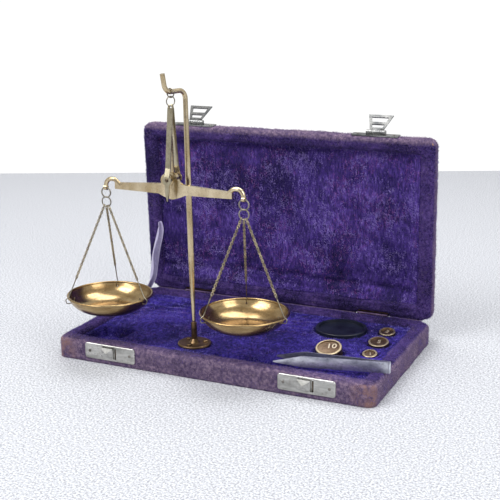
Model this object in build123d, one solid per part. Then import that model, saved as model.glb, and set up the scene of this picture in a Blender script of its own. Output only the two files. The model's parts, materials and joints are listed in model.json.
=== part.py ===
"""Hanging two-pan travel balance standing in its open velvet-covered case.

Millimetres. Origin: centre of the base's underside. +X to the right, -Y to the front (clasps),
+Y to the back (hinges), +Z up. Rest state: lid open, balance hanging level from its post.
"""
from math import cos, radians, sin, tan
import os

from build123d import *

# ---- case ----
CASE_WIDTH = 200.0
CASE_DEPTH = 115.0
BASE_HEIGHT = 13.0
LID_HEIGHT = 9.0
LID_OPEN_ANGLE = 87.0
RIM_WIDTH = 9.5
VELVET = 0.8
CORNER_RADIUS = 5.0
EDGE_RADIUS = 2.4
INNER_CORNER_RADIUS = 3.0
BASE_BOARD = 2.4
LID_BOARD = 1.6
LID_PAD = 1.0
FLOOR_Z = 10.5

HINGE_Y = CASE_DEPTH / 2
HINGE_Z = BASE_HEIGHT
FRONT_Y = -CASE_DEPTH / 2
INNER_WIDTH = CASE_WIDTH - 2 * RIM_WIDTH
INNER_DEPTH = CASE_DEPTH - 2 * RIM_WIDTH

# ---- back hinges ----
HINGE_XS = (-62.0, 62.0)
LEAF_LENGTH = 20.0
LEAF_THICKNESS = 0.7
LEAF_HEIGHT = 8.0
KNUCKLE_RADIUS = 1.5
HINGE_PIN_RADIUS = 0.6
HINGE_CLEARANCE = 0.06
KNUCKLES = 5

# ---- catches on the base's front ----
CATCH_XS = {"left": -62.8, "right": 61.4}
PLATE_LENGTH = 33.8
PLATE_HEIGHT = 9.5
PLATE_THICKNESS = 0.8
PLATE_Z = 7.5
PLATE_CORNER = 1.6
PLATE_NAIL_INSET = 3.4
BUTTON_WIDTH = 8.2
BUTTON_HEIGHT = 6.4
BUTTON_TRAVEL = 1.8
BUTTON_PROUD = 1.9
BUTTON_SHIFT = -1.6
FOOT_WIDTH = 9.4
FOOT_HEIGHT = 7.4
FOOT_THICKNESS = 1.2
CATCH_CAVITY_DEPTH = 4.6
SLIDE_CLEARANCE = 0.12
NAIL_HEAD_RADIUS = 0.85

# ---- hasps on the lid's front ----
HASP_LENGTH = 13.7
HASP_ROOT_WIDTH = 9.0
HASP_TIP_WIDTH = 16.0
HASP_THICKNESS = 0.9
HASP_BACK_TILT = 50.0
HASP_BAR = 2.0
HASP_KNUCKLE_RADIUS = 1.25
HASP_PIN_RADIUS = 0.55
HASP_BRACKET_LENGTH = 30.0
HASP_BRACKET_HEIGHT = 6.6
HASP_BRACKET_THICKNESS = 0.7
HASP_BRACKET_RISE = 1.3
BRACKET_CORNER = 1.2
BRACKET_NAIL_INSET = 3.5
BRACKET_KNUCKLE = (2.6, 6.2)
HASP_KNUCKLE_HALF = 2.45
HASP_WINDOW_START = 3.2
NAIL_LENGTH = 5.0

# ---- post and its socket ----
POST_X = -20.6
POST_Y = -30.5
POST_LEAN = 1.1
FLANGE_RADIUS = 10.0
FLANGE_THICKNESS = 1.2
SCREW_CIRCLE_RADIUS = 6.6
SCREW_SHANK_RADIUS = 0.8
SOCKET_RADIUS = 1.75
SOCKET_TOP = 24.0
SPIGOT_RADIUS = 0.95
SPIGOT_BOTTOM = 13.6
SOCKET_CLEARANCE = 0.05
POST_MAX_RADIUS = 1.75
ARM_RADIUS = 1.4
ARM_HEIGHT = 160.9
ARM_BEND = 5.0
ARM_UPTURN = 80.0
ARM_END_LENGTH = 10.4

# ---- balance ----
PIVOT = Vector(-26.3, -42.5, 111.3)
ARM_LENGTH = 44.2
EYE_DROP = 7.4
BEAM_THICKNESS = 2.4
ARM_BOTTOM = -7.6
ARM_TOP = -4.0
SWELL_BOTTOM = -10.8
SWELL_TOP = 4.4
NECK_REACH = 6.8
NECK_CREST = -2.1
NECK_TIP_DROP = 9.0
BOSS_RADIUS = 3.9
BOSS_DROP = 2.8
BOSS_THICKNESS = 3.4
NECK_RADIUS = 1.3
EYE_LUG_RADIUS = 1.6
EYE_LUG_LENGTH = 1.8
EYE_HOLE_RADIUS = 0.95
KNIFE_LENGTH = 14.6
KNIFE_HALF_WIDTH = 0.9
KNIFE_HEIGHT = 1.5
FORK_HALF_GAP = 6.0
FORK_THICKNESS = 0.8
FORK_KNEE = 3.0
FORK_SHOULDER = 7.5
FORK_SHOULDER_GAP = 4.4
FORK_FOLD = 0.85
FORK_FOOT_WIDTH = 3.1
FORK_HEAD_WIDTH = 3.2
FORK_TIP_WIDTH = 2.1
TAIL_WIDTH = 2.6
FORK_TOP_Z = 154.2
CHEEK_RADIUS = 2.6
CHEEK_HOLE_RADIUS = 1.2
TAIL_BOTTOM_Z = 100.2
POINTER_TOP_Z = 144.0
POINTER_WIDTH = 2.2
POINTER_THICKNESS = 0.7
RING_WIRE = 0.33
HOOK_RING_RADIUS = 2.5
FORK_RING_RADIUS = 2.7
FORK_HOLE_RADIUS = 1.05
HOOK_RING_TURN = -13.0
FORK_RING_TURN = 62.0

# ---- hangers, chains and pans ----
LOOP_WIRE = 0.4
UPPER_LOOP_RADIUS = 2.95
LOWER_LOOP_RADIUS = 2.95
LOOP_OVERLAP = 0.35
CHAIN_WIRE = 0.24
CHAIN_PITCH = 1.3
CHAIN_SLACK = 0.05
WIRE_GAP = 0.06
LINK_HALF_WIDTH = 0.6
END_LINK_HALF_WIDTH = 0.86
CHAIN_LINKS = 35
CHAIN_AZIMUTHS = {"a": -8.0, "b": 112.0, "c": 232.0}
CHAIN_SEATS = {"a": 30.0, "b": -2.0, "c": -34.0}
PAN_RIM_Z = 38.9
PAN_RIM_RADIUS = 25.1
PAN_BEAD_RADIUS = 0.7
PAN_DEPTH = 9.6
PAN_FLAT_RADIUS = 13.0
PAN_THICKNESS = 0.7
PAN_HOLE_RADIUS = 0.5
PAN_HOLE_DROP = 2.1
PAN_WIRE = 0.3
PAN_WIRE_EYE = 0.75

# ---- loose contents ----
WEIGHTS = {
    # name: (x, y, radius, height, tilt towards the front, height of its pocket's floor)
    "weight_10": (57.6, -10.6, 7.75, 6.3, 16.0, 5.5),
    "weight_5": (79.7, 14.4, 6.1, 4.6, 10.0, 6.2),
    "weight_2": (78.7, 35.1, 5.0, 3.2, 11.0, 7.2),
    "weight_1": (80.1, -4.0, 4.4, 2.4, 12.0, 7.3),
}
WEIGHT_RIM = 1.2
WEIGHT_RECESS = 0.6
POCKET_CLEARANCE = 0.7
DISH_CENTRE = (50.6, 29.8)
DISH_RADIUS = 16.0
DISH_HEIGHT = 2.9
DISH_RIM = 1.9
DISH_RECESS = 1.4
DISH_FLOOR = 8.8
TWEEZER_END = (101.0, -36.0)
TWEEZER_TURN = 8.7
TWEEZER_LENGTH = 64.0
TWEEZER_HEIGHT = 6.4
TWEEZER_THICKNESS = 0.9
TWEEZER_HALF_ANGLE = 3.6
TWEEZER_POINT = 16.0
TWEEZER_TIP = (1.9, 2.6)
HEEL_RADIUS = 1.0
HEEL_CLEARANCE = 0.06
TROUGH = (-2.0, 46.0, -46.5, -39.5, 4.0)
FINGER_POCKET = (-88.0, -66.0, -45.5, -22.0, 4.0)

# ---- stay ribbon ----
RIBBON_WIDTH = 10.0
RIBBON_THICKNESS = 0.5
RIBBON_X = -INNER_WIDTH / 2 + 0.4
RIBBON_TOP_Z = 61.0
RIBBON_REST_Z = BASE_HEIGHT + 0.15
RIBBON_FRONT_Y = 20.0
RIBBON_MARGIN = 1.2
RIM_BACK_Y = INNER_DEPTH / 2

SPAN = 400.0


# ---------------------------------------------------------------- helpers
def box(x0, x1, y0, y1, z0, z1):
    """A block from its two corners."""
    centre = Pos((x0 + x1) / 2, (y0 + y1) / 2, (z0 + z1) / 2)
    return centre * Box(x1 - x0, y1 - y0, z1 - z0)


def rod_between(start, end, radius):
    """A round bar from one point to another."""
    start = Vector(*start)
    along = Vector(*end) - start
    return extrude(Plane(origin=start, z_dir=along.normalized()) * Circle(radius), along.length)


def bent_wire(points, radii, wire_radius):
    """A round wire along straight runs joined by arcs."""
    path = FilletPolyline(*points, radius=radii)
    section = Plane(origin=path @ 0, z_dir=path % 0) * Circle(wire_radius)
    return sweep(section, path=path)


def ring(centre, radius, wire_radius, axis):
    """A closed round ring about an axis through its centre."""
    return Plane(origin=centre, z_dir=axis) * Torus(radius, wire_radius)


def horizontal(turn):
    """The horizontal direction that faces the front, turned about +Z by an angle."""
    return Vector(sin(radians(turn)), -cos(radians(turn)), 0)


def opened(shape):
    """Swing a shape from the closed lid's place to the open lid's."""
    return shape.rotate(Axis((0, HINGE_Y, HINGE_Z), (1, 0, 0)), -LID_OPEN_ANGLE)


def leaned(shape):
    """Lean a shape with the post, about the post's foot."""
    return shape.rotate(Axis((POST_X, POST_Y, FLOOR_Z), (0, 1, 0)), -POST_LEAN)


def joined(shapes):
    """Separate solids of one node."""
    return Compound(children=list(shapes))


parts = {}


# ---------------------------------------------------------------- case shells
def rounded_ring(inset, z_face, z_far, rim_side):
    """The case wall as a ring: z_face is the rim's height, rim_side says which way the rim faces."""
    low, high = min(z_face, z_far), max(z_face, z_far)
    outer = extrude(
        Pos(0, 0, low) * RectangleRounded(
            CASE_WIDTH - 2 * inset, CASE_DEPTH - 2 * inset, CORNER_RADIUS - inset
        ),
        high - low,
    )
    hole = extrude(
        Pos(0, 0, low) * RectangleRounded(
            INNER_WIDTH + 2 * inset, INNER_DEPTH + 2 * inset, INNER_CORNER_RADIUS + inset
        ),
        high - low,
    )
    wall = outer - hole
    rim = wall.faces().sort_by(Axis.Z)[-1 if rim_side > 0 else 0]
    return fillet(rim.edges(), EDGE_RADIUS - inset)


def base_case():
    cover = rounded_ring(0, BASE_HEIGHT, 0, +1)
    core = rounded_ring(VELVET, BASE_HEIGHT - VELVET, BASE_BOARD, +1)
    board = extrude(
        RectangleRounded(CASE_WIDTH - 2 * VELVET, CASE_DEPTH - 2 * VELVET, CORNER_RADIUS - VELVET),
        BASE_BOARD,
    )
    return cover - core - board, core, board


def lid_case():
    top = BASE_HEIGHT + LID_HEIGHT
    shell = extrude(
        Pos(0, 0, BASE_HEIGHT) * RectangleRounded(CASE_WIDTH, CASE_DEPTH, CORNER_RADIUS), LID_HEIGHT
    )
    shell = fillet(shell.faces().sort_by(Axis.Z)[-1].edges(), EDGE_RADIUS)
    shell = fillet(shell.faces().sort_by(Axis.Z)[0].edges(), EDGE_RADIUS)
    board_low = top - VELVET - LID_BOARD
    recess = extrude(
        Pos(0, 0, BASE_HEIGHT) * RectangleRounded(INNER_WIDTH, INNER_DEPTH, INNER_CORNER_RADIUS),
        board_low - BASE_HEIGHT,
    )
    rim = rounded_ring(0, BASE_HEIGHT, board_low, -1)
    cover = (shell - box(-SPAN, SPAN, -SPAN, SPAN, 0, board_low)) + rim
    inner = extrude(
        Pos(0, 0, BASE_HEIGHT) * RectangleRounded(
            CASE_WIDTH - 2 * VELVET, CASE_DEPTH - 2 * VELVET, CORNER_RADIUS - VELVET
        ),
        LID_HEIGHT - VELVET,
    )
    inner = fillet(inner.faces().sort_by(Axis.Z)[-1].edges(), EDGE_RADIUS - VELVET)
    board = inner & box(-SPAN, SPAN, -SPAN, SPAN, board_low, top)
    core = rounded_ring(VELVET, BASE_HEIGHT + VELVET, board_low, -1)
    pad = recess & box(-SPAN, SPAN, -SPAN, SPAN, board_low - LID_PAD, board_low)
    return cover - board - core, core, board, pad


def rails(core, z0, z1):
    """Cut the frame's ring into its four mitre-free rails."""
    split_x = CASE_WIDTH / 2 - RIM_WIDTH + VELVET
    split_y = CASE_DEPTH / 2 - RIM_WIDTH + VELVET
    blocks = [
        box(-SPAN, SPAN, -SPAN, -split_y, z0, z1),
        box(-SPAN, SPAN, split_y, SPAN, z0, z1),
        box(-SPAN, -split_x, -split_y, split_y, z0, z1),
        box(split_x, SPAN, -split_y, split_y, z0, z1),
    ]
    return [core & block for block in blocks]


# ---------------------------------------------------------------- back hinges
def knuckle_span(index):
    """The low and high end of one knuckle along the hinge, from the hinge's middle."""
    pitch = LEAF_LENGTH / KNUCKLES
    low = -LEAF_LENGTH / 2 + index * pitch
    return low + HINGE_CLEARANCE, low + pitch - HINGE_CLEARANCE


def along_hinge(x0, x1, radius):
    return rod_between((x0, HINGE_Y, HINGE_Z), (x1, HINGE_Y, HINGE_Z), radius)


def hinge_leaf(centre_x, side):
    """One leaf on the back face: side -1 below the joint line, +1 above it, lid closed."""
    near, far = 0.9, LEAF_HEIGHT + 0.9
    z0, z1 = (HINGE_Z - far, HINGE_Z - near) if side < 0 else (HINGE_Z + near, HINGE_Z + far)
    x0, x1 = centre_x - LEAF_LENGTH / 2, centre_x + LEAF_LENGTH / 2
    z1 = min(z1, BASE_HEIGHT + LID_HEIGHT - EDGE_RADIUS)
    plate = box(x0, x1, HINGE_Y, HINGE_Y + LEAF_THICKNESS, z0, z1)
    own = [i for i in range(KNUCKLES) if i % 2 == (0 if side < 0 else 1)]
    for i in range(KNUCKLES):
        low, high = knuckle_span(i)
        if i in own:
            plate += along_hinge(centre_x + low, centre_x + high, KNUCKLE_RADIUS)
            web = sorted((HINGE_Z, HINGE_Z + side * (near + 0.3)))
            plate += box(centre_x + low, centre_x + high, HINGE_Y, HINGE_Y + LEAF_THICKNESS, *web)
        else:
            margin = HINGE_CLEARANCE + 0.1
            plate -= along_hinge(
                centre_x + low - margin, centre_x + high + margin, KNUCKLE_RADIUS + 0.2
            )
    bore = HINGE_PIN_RADIUS + (0 if side < 0 else HINGE_CLEARANCE)
    return plate - along_hinge(x0 - 1, x1 + 1, bore)


def hinge_notch(centre_x):
    """Room for the knuckles in the back edge of the wall."""
    half = LEAF_LENGTH / 2 + 0.4
    return along_hinge(centre_x - half, centre_x + half, KNUCKLE_RADIUS + 0.3)


def round_nail(head, direction, length, radius=NAIL_HEAD_RADIUS):
    """A round-headed nail: head at the surface, shank along the direction into it."""
    direction = Vector(*direction)
    head = Vector(*head)
    dome = Plane(origin=head, z_dir=direction * -1) * Cylinder(
        radius, radius * 0.45, align=(Align.CENTER, Align.CENTER, Align.MIN)
    )
    dome = fillet(dome.edges().filter_by(GeomType.CIRCLE).sort_by(
        lambda e: (e.center() - head).length)[-1], radius * 0.3)
    return dome + rod_between(head, head + direction * length, radius * 0.5)


# ---------------------------------------------------------------- catches
def catch_geometry(side):
    """Centre line of the slot and of the button at rest."""
    plate_x = CATCH_XS[side]
    return plate_x, plate_x + BUTTON_SHIFT


def catch_cavity(side):
    """Room behind the plate for the button's foot and its spring."""
    plate_x, button_x = catch_geometry(side)
    x0 = button_x - FOOT_WIDTH / 2 - SLIDE_CLEARANCE
    x1 = button_x + FOOT_WIDTH / 2 + BUTTON_TRAVEL + 3.2
    half = FOOT_HEIGHT / 2 + SLIDE_CLEARANCE
    return box(x0, x1, FRONT_Y - 0.01, FRONT_Y + CATCH_CAVITY_DEPTH, PLATE_Z - half, PLATE_Z + half)


def catch_plate(side):
    plate_x, button_x = catch_geometry(side)
    plate = box(
        plate_x - PLATE_LENGTH / 2, plate_x + PLATE_LENGTH / 2,
        FRONT_Y - PLATE_THICKNESS, FRONT_Y,
        PLATE_Z - PLATE_HEIGHT / 2, PLATE_Z + PLATE_HEIGHT / 2,
    )
    plate = fillet(plate.edges().filter_by(Axis.Y), PLATE_CORNER)
    front = plate.faces().sort_by(Axis.Y)[0]
    plate = chamfer(front.edges(), 0.25)
    slot_x0 = button_x - BUTTON_WIDTH / 2 - SLIDE_CLEARANCE
    slot_x1 = button_x + BUTTON_WIDTH / 2 + BUTTON_TRAVEL + SLIDE_CLEARANCE
    half = BUTTON_HEIGHT / 2 + SLIDE_CLEARANCE
    plate -= box(slot_x0, slot_x1, FRONT_Y - 3, FRONT_Y + 1, PLATE_Z - half, PLATE_Z + half)
    notch_top = PLATE_Z + half + 0.7
    plate -= box(slot_x0 + 1, slot_x1 - 1, FRONT_Y - 3, FRONT_Y + 1, PLATE_Z + half, notch_top)
    for x in nail_xs(plate_x):
        plate -= rod_between((x, FRONT_Y - 3, PLATE_Z), (x, FRONT_Y + 1, PLATE_Z), 0.5 * NAIL_HEAD_RADIUS)
    return plate


def nail_xs(plate_x):
    reach = PLATE_LENGTH / 2 - PLATE_NAIL_INSET
    return plate_x - reach, plate_x + reach


def catch_button(side):
    """A sliding button: pyramid face, neck through the slot and a foot behind the plate."""
    button_x = catch_geometry(side)[1]
    base_y = FRONT_Y - PLATE_THICKNESS - 0.5
    neck = box(
        button_x - BUTTON_WIDTH / 2, button_x + BUTTON_WIDTH / 2, base_y, FRONT_Y + 0.15,
        PLATE_Z - BUTTON_HEIGHT / 2, PLATE_Z + BUTTON_HEIGHT / 2,
    )
    face = Plane(origin=(button_x, base_y, PLATE_Z), x_dir=(1, 0, 0), z_dir=(0, -1, 0))
    tip = face.offset(BUTTON_PROUD - 0.5)
    pyramid = loft([face * Rectangle(BUTTON_WIDTH, BUTTON_HEIGHT), tip * Rectangle(0.5, 0.4)])
    foot = box(
        button_x - FOOT_WIDTH / 2, button_x + FOOT_WIDTH / 2,
        FRONT_Y + 0.12, FRONT_Y + 0.12 + FOOT_THICKNESS,
        PLATE_Z - FOOT_HEIGHT / 2, PLATE_Z + FOOT_HEIGHT / 2,
    )
    return neck + pyramid + foot


def catch_spring(side):
    """A folded leaf spring between the foot's end and the end of the cavity."""
    button_x = catch_geometry(side)[1]
    x0 = button_x + FOOT_WIDTH / 2 + 0.05
    x1 = button_x + FOOT_WIDTH / 2 + BUTTON_TRAVEL + 3.2
    y0 = FRONT_Y + 0.3
    y1 = FRONT_Y + CATCH_CAVITY_DEPTH - 0.3
    leaf = 0.3
    outline = Polyline(
        (x0, y0), (x0 + leaf, y0), (x1 - leaf, y1 - leaf), (x1 - leaf, y0), (x1, y0), (x1, y1),
        (x1 - leaf, y1), (x0, y0 + leaf), close=True,
    )
    return extrude(Pos(0, 0, PLATE_Z - 2.5) * make_face(outline), 5.0)


# ---------------------------------------------------------------- hasps (built on the closed lid)
HASP_AXIS_Y = FRONT_Y - HASP_BRACKET_THICKNESS - HASP_KNUCKLE_RADIUS - 0.15
HASP_AXIS_Z = BASE_HEIGHT + 5.2
BRACKET_Z = BASE_HEIGHT + HASP_BRACKET_RISE + HASP_BRACKET_HEIGHT / 2


def bracket_nail_xs(centre):
    reach = HASP_BRACKET_LENGTH / 2 - BRACKET_NAIL_INSET
    return centre - reach, centre + reach


def along_hasp(x0, x1, radius):
    return rod_between((x0, HASP_AXIS_Y, HASP_AXIS_Z), (x1, HASP_AXIS_Y, HASP_AXIS_Z), radius)


def hasp_bracket(side):
    centre = CATCH_XS[side]
    half = HASP_BRACKET_LENGTH / 2
    low_z = BASE_HEIGHT + HASP_BRACKET_RISE
    plate = box(
        centre - half, centre + half, FRONT_Y - HASP_BRACKET_THICKNESS, FRONT_Y,
        low_z, low_z + HASP_BRACKET_HEIGHT,
    )
    plate = fillet(plate.edges().filter_by(Axis.Y), BRACKET_CORNER)
    for x in bracket_nail_xs(centre):
        plate -= rod_between(
            (x, FRONT_Y - 3, BRACKET_Z), (x, FRONT_Y + 1, BRACKET_Z), 0.5 * NAIL_HEAD_RADIUS
        )
    for s in (-1, 1):
        x0, x1 = sorted(centre + s * reach for reach in BRACKET_KNUCKLE)
        plate += along_hasp(x0, x1, HASP_KNUCKLE_RADIUS)
        plate += box(
            x0, x1, HASP_AXIS_Y, FRONT_Y, HASP_AXIS_Z - 0.9, HASP_AXIS_Z + HASP_KNUCKLE_RADIUS
        )
    return plate - along_hasp(centre - half, centre + half, HASP_PIN_RADIUS)


def hasp(side):
    """A trapezoidal loop with a cross bar, lying back on the open lid's edge."""
    centre = CATCH_XS[side]
    root, tip = HASP_ROOT_WIDTH / 2, HASP_TIP_WIDTH / 2

    def half_width(s):
        return root + (tip - root) * s / HASP_LENGTH

    def window(s0, s1):
        edge = HASP_BAR
        w0, w1 = half_width(s0) - edge, half_width(s1) - edge
        return Polyline((-w0, -s0), (w0, -s0), (w1, -s1), (-w1, -s1), close=True)

    blank = Polyline(
        (-root, -1.9), (root, -1.9), (tip, -HASP_LENGTH), (-tip, -HASP_LENGTH), close=True
    )
    middle = HASP_LENGTH * 0.5
    profile = make_face(blank)
    profile -= make_face(window(HASP_WINDOW_START, middle - HASP_BAR / 2))
    profile -= make_face(window(middle + HASP_BAR / 2, HASP_LENGTH - HASP_BAR))
    plane = Plane(
        origin=(centre, HASP_AXIS_Y + HASP_THICKNESS / 2, HASP_AXIS_Z), x_dir=(1, 0, 0), z_dir=(0, -1, 0)
    )
    loop = extrude(plane * profile, HASP_THICKNESS)
    loop = chamfer(loop.faces().sort_by(Axis.Y)[0].outer_wire().edges(), 0.25)
    knuckle = along_hasp(centre - HASP_KNUCKLE_HALF, centre + HASP_KNUCKLE_HALF, HASP_KNUCKLE_RADIUS)
    shank = box(
        centre - HASP_KNUCKLE_HALF, centre + HASP_KNUCKLE_HALF,
        HASP_AXIS_Y - HASP_THICKNESS / 2, HASP_AXIS_Y + HASP_THICKNESS / 2,
        HASP_AXIS_Z - HASP_WINDOW_START, HASP_AXIS_Z,
    )
    loop = loop + knuckle + shank
    loop -= along_hasp(centre - 20, centre + 20, HASP_PIN_RADIUS + 0.06)
    turn = -(90 + HASP_BACK_TILT) - (90 - LID_OPEN_ANGLE)
    return loop.rotate(Axis((0, HASP_AXIS_Y, HASP_AXIS_Z), (1, 0, 0)), turn)


# ---------------------------------------------------------------- post
def post_socket():
    flange = Pos(POST_X, POST_Y, FLOOR_Z) * Cylinder(
        FLANGE_RADIUS, FLANGE_THICKNESS, align=(Align.CENTER, Align.CENTER, Align.MIN)
    )
    flange = fillet(flange.edges().sort_by(Axis.Z)[-1], 0.7)
    tube = rod_between((POST_X, POST_Y, FLOOR_Z + 0.4), (POST_X, POST_Y, SOCKET_TOP), SOCKET_RADIUS)
    collar = Pos(POST_X, POST_Y, FLOOR_Z + FLANGE_THICKNESS - 0.2) * Cone(
        3.4, SOCKET_RADIUS, 2.4, align=(Align.CENTER, Align.CENTER, Align.MIN)
    )
    bore = rod_between(
        (POST_X, POST_Y, SPIGOT_BOTTOM - 0.3), (POST_X, POST_Y, SOCKET_TOP + 2),
        SPIGOT_RADIUS + SOCKET_CLEARANCE,
    )
    socket = flange + leaned(tube) + collar - leaned(bore)
    for head in socket_screw_places():
        socket -= rod_between(head - Vector(0, 0, 3), head + Vector(0, 0, 3), SCREW_SHANK_RADIUS)
    return socket


def socket_screw_places():
    top = FLOOR_Z + FLANGE_THICKNESS
    reach = Vector(SCREW_CIRCLE_RADIUS, 0, 0)
    return [Vector(POST_X, POST_Y, top) + reach.rotate(Axis.Z, angle) for angle in (30, 150, 270)]


def slotted_screw(head):
    """A round-headed slotted wood screw standing in the flange."""
    cap = Pos(*head) * Cylinder(1.6, 0.9, align=(Align.CENTER, Align.CENTER, Align.MIN))
    cap = fillet(cap.edges().sort_by(Axis.Z)[-1], 0.6)
    cap -= Pos(head.X, head.Y, head.Z + 0.9) * Rot(0, 0, 35) * Box(4, 0.45, 0.8)
    return cap + rod_between(head, head - Vector(0, 0, 7), SCREW_SHANK_RADIUS)


def post():
    """A tapered rod, a level bent arm, and an end turned up past the place where the balance hangs."""
    hang = Vector(PIVOT.X, PIVOT.Y, ARM_HEIGHT) - Vector(POST_X, POST_Y, FLOOR_Z)
    hang = hang.rotate(Axis.Y, POST_LEAN) + Vector(POST_X, POST_Y, FLOOR_Z)
    corner = Vector(POST_X, POST_Y, hang.Z)
    outward = (hang - corner).normalized()
    turn = radians(ARM_UPTURN)
    bend = hang + outward * (ARM_BEND * tan(turn / 2))
    tip = bend + (outward * cos(turn) + Vector(0, 0, sin(turn))) * ARM_END_LENGTH
    shaft_top = hang.Z - 8
    outline = Polyline(
        (0, SPIGOT_BOTTOM), (SPIGOT_RADIUS, SPIGOT_BOTTOM), (SPIGOT_RADIUS, SOCKET_TOP + 0.3),
        (1.15, SOCKET_TOP + 1.3), (POST_MAX_RADIUS, 62), (POST_MAX_RADIUS, 108),
        (ARM_RADIUS, shaft_top), (0, shaft_top), close=True,
    )
    shaft = Pos(POST_X, POST_Y, 0) * revolve(Plane.XZ * make_face(outline), Axis.Z)
    foot_of_arm = (POST_X, POST_Y, shaft_top)
    arm = bent_wire([foot_of_arm, corner, bend, tip], [ARM_BEND, ARM_BEND], ARM_RADIUS)
    return leaned(shaft + arm)


# ---------------------------------------------------------------- suspension
HOOK_RING_Z = ARM_HEIGHT + ARM_RADIUS + RING_WIRE + 0.08 - HOOK_RING_RADIUS
FORK_RING_Z = HOOK_RING_Z - HOOK_RING_RADIUS + 2 * RING_WIRE + 0.05 - FORK_RING_RADIUS
FORK_HOLE_Z = FORK_RING_Z - FORK_RING_RADIUS - FORK_HOLE_RADIUS + RING_WIRE + 0.34


def suspension_fork():
    """A strip folded over at the top, with a round cheek and a pointed tail on each limb."""
    gap, thick, top = FORK_HALF_GAP, FORK_THICKNESS, FORK_TOP_Z - PIVOT.Z
    tail = TAIL_BOTTOM_Z - PIVOT.Z
    shoulder = FORK_SHOULDER_GAP
    side_plane = Plane(origin=PIVOT, x_dir=(0, 1, 0), z_dir=(1, 0, 0))
    half_outside = [
        (gap + thick, tail), (gap + thick, FORK_KNEE), (shoulder + thick, FORK_SHOULDER),
        (FORK_FOLD, top - 1.0),
    ]
    half_inside = [
        (gap, tail - 1), (gap, FORK_KNEE), (shoulder, FORK_SHOULDER), (FORK_FOLD - thick + 0.15, top - 2.2),
    ]
    outside = half_outside + [(0, top)] + [(-y, z) for y, z in reversed(half_outside)]
    inside = half_inside + [(-y, z) for y, z in reversed(half_inside)]
    section = make_face(Polyline(*outside, close=True)) - make_face(Polyline(*inside, close=True))
    strip = extrude(side_plane * section, 8, both=True)
    front_plane = Plane(origin=PIVOT, x_dir=(1, 0, 0), z_dir=(0, -1, 0))
    half_limb = [(FORK_FOOT_WIDTH / 2, 1), (FORK_HEAD_WIDTH / 2, top - 2.6), (FORK_TIP_WIDTH / 2, top + 0.1)]
    limb = half_limb + [(-x, z) for x, z in reversed(half_limb)]
    half_finial = [
        (TAIL_WIDTH / 2, -1), (TAIL_WIDTH / 2, tail * 0.5), (TAIL_WIDTH / 4, tail * 0.8), (0.15, tail),
    ]
    finial = half_finial + [(-x, z) for x, z in reversed(half_finial)]
    silhouette = make_face(Polyline(*limb, close=True)) + make_face(Polyline(*finial, close=True))
    silhouette += Pos(0, 0.6) * Circle(CHEEK_RADIUS)
    silhouette -= Pos(0, CHEEK_HOLE_RADIUS - 0.05) * Circle(CHEEK_HOLE_RADIUS)
    fork = strip & extrude(front_plane * silhouette, 12, both=True)
    eye = rod_between(
        (PIVOT.X, PIVOT.Y - 5, FORK_HOLE_Z), (PIVOT.X, PIVOT.Y + 5, FORK_HOLE_Z), FORK_HOLE_RADIUS
    )
    return fork - eye


# ---------------------------------------------------------------- beam
def beam():
    """A flat bar that swells at the middle, with a swan neck and an eye at each end."""
    face = Plane(origin=PIVOT, x_dir=(1, 0, 0), z_dir=(0, -1, 0))
    arm_end = ARM_LENGTH - NECK_REACH
    half = [
        Line((0, SWELL_BOTTOM), (0.5, SWELL_BOTTOM)),
        ThreePointArc((0.5, SWELL_BOTTOM), (5.0, SWELL_BOTTOM + 1.3), (8.5, -8.0)),
        Line((8.5, -8.0), (arm_end, ARM_BOTTOM)),
        Line((arm_end, ARM_BOTTOM), (arm_end, ARM_TOP)),
        Line((arm_end, ARM_TOP), (7.0, -2.1)),
        ThreePointArc((7.0, -2.1), (4.4, -0.6), (3.4, 2.0)),
        ThreePointArc((3.4, 2.0), (2.3, SWELL_TOP - 0.7), (0, SWELL_TOP)),
    ]
    right = make_face(Wire(half + [Line((0, SWELL_TOP), (0, SWELL_BOTTOM))]))
    outline = right + mirror(right, Plane.YZ)
    plate = extrude(face * outline, BEAM_THICKNESS / 2, both=True)
    plate += Plane(origin=PIVOT, z_dir=(0, -1, 0)) * Pos(0, -BOSS_DROP, 0) * Cylinder(
        BOSS_RADIUS, BOSS_THICKNESS
    )
    for side in (-1, 1):
        plate = plate + swan_neck(side) - eye_bore(side)
    return plate - knife_edge() - pointer()


def swan_neck(side):
    """The round end of one arm: up over a crest, then down to a rounded tip with an eye in it."""
    arm_end = ARM_LENGTH - NECK_REACH
    tip = NECK_TIP_DROP - NECK_RADIUS
    points = [
        (arm_end - 3.2, (ARM_BOTTOM + ARM_TOP) / 2 + 0.3), (arm_end + 0.6, NECK_CREST),
        (ARM_LENGTH - 0.7, NECK_CREST), (ARM_LENGTH, -tip),
    ]
    path = [PIVOT + Vector(side * x, 0, z) for x, z in points]
    neck = bent_wire(path, [2.6, 4.0], NECK_RADIUS)
    neck += Pos(*path[-1]) * Sphere(NECK_RADIUS)
    half_lug = Vector(EYE_LUG_LENGTH / 2, 0, 0)
    return neck + rod_between(eye_point(side) - half_lug, eye_point(side) + half_lug, EYE_LUG_RADIUS)


def eye_bore(side):
    reach = Vector(3, 0, 0)
    return rod_between(eye_point(side) - reach, eye_point(side) + reach, EYE_HOLE_RADIUS)


def knife_edge():
    """A triangular bar, its edge down on the pivot line."""
    face = Plane(origin=PIVOT - Vector(0, KNIFE_LENGTH / 2, 0), x_dir=(1, 0, 0), z_dir=(0, -1, 0))
    section = Polyline(
        (0, 0), (KNIFE_HALF_WIDTH, KNIFE_HEIGHT), (-KNIFE_HALF_WIDTH, KNIFE_HEIGHT), close=True
    )
    return extrude(face * make_face(section), -KNIFE_LENGTH)


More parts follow.
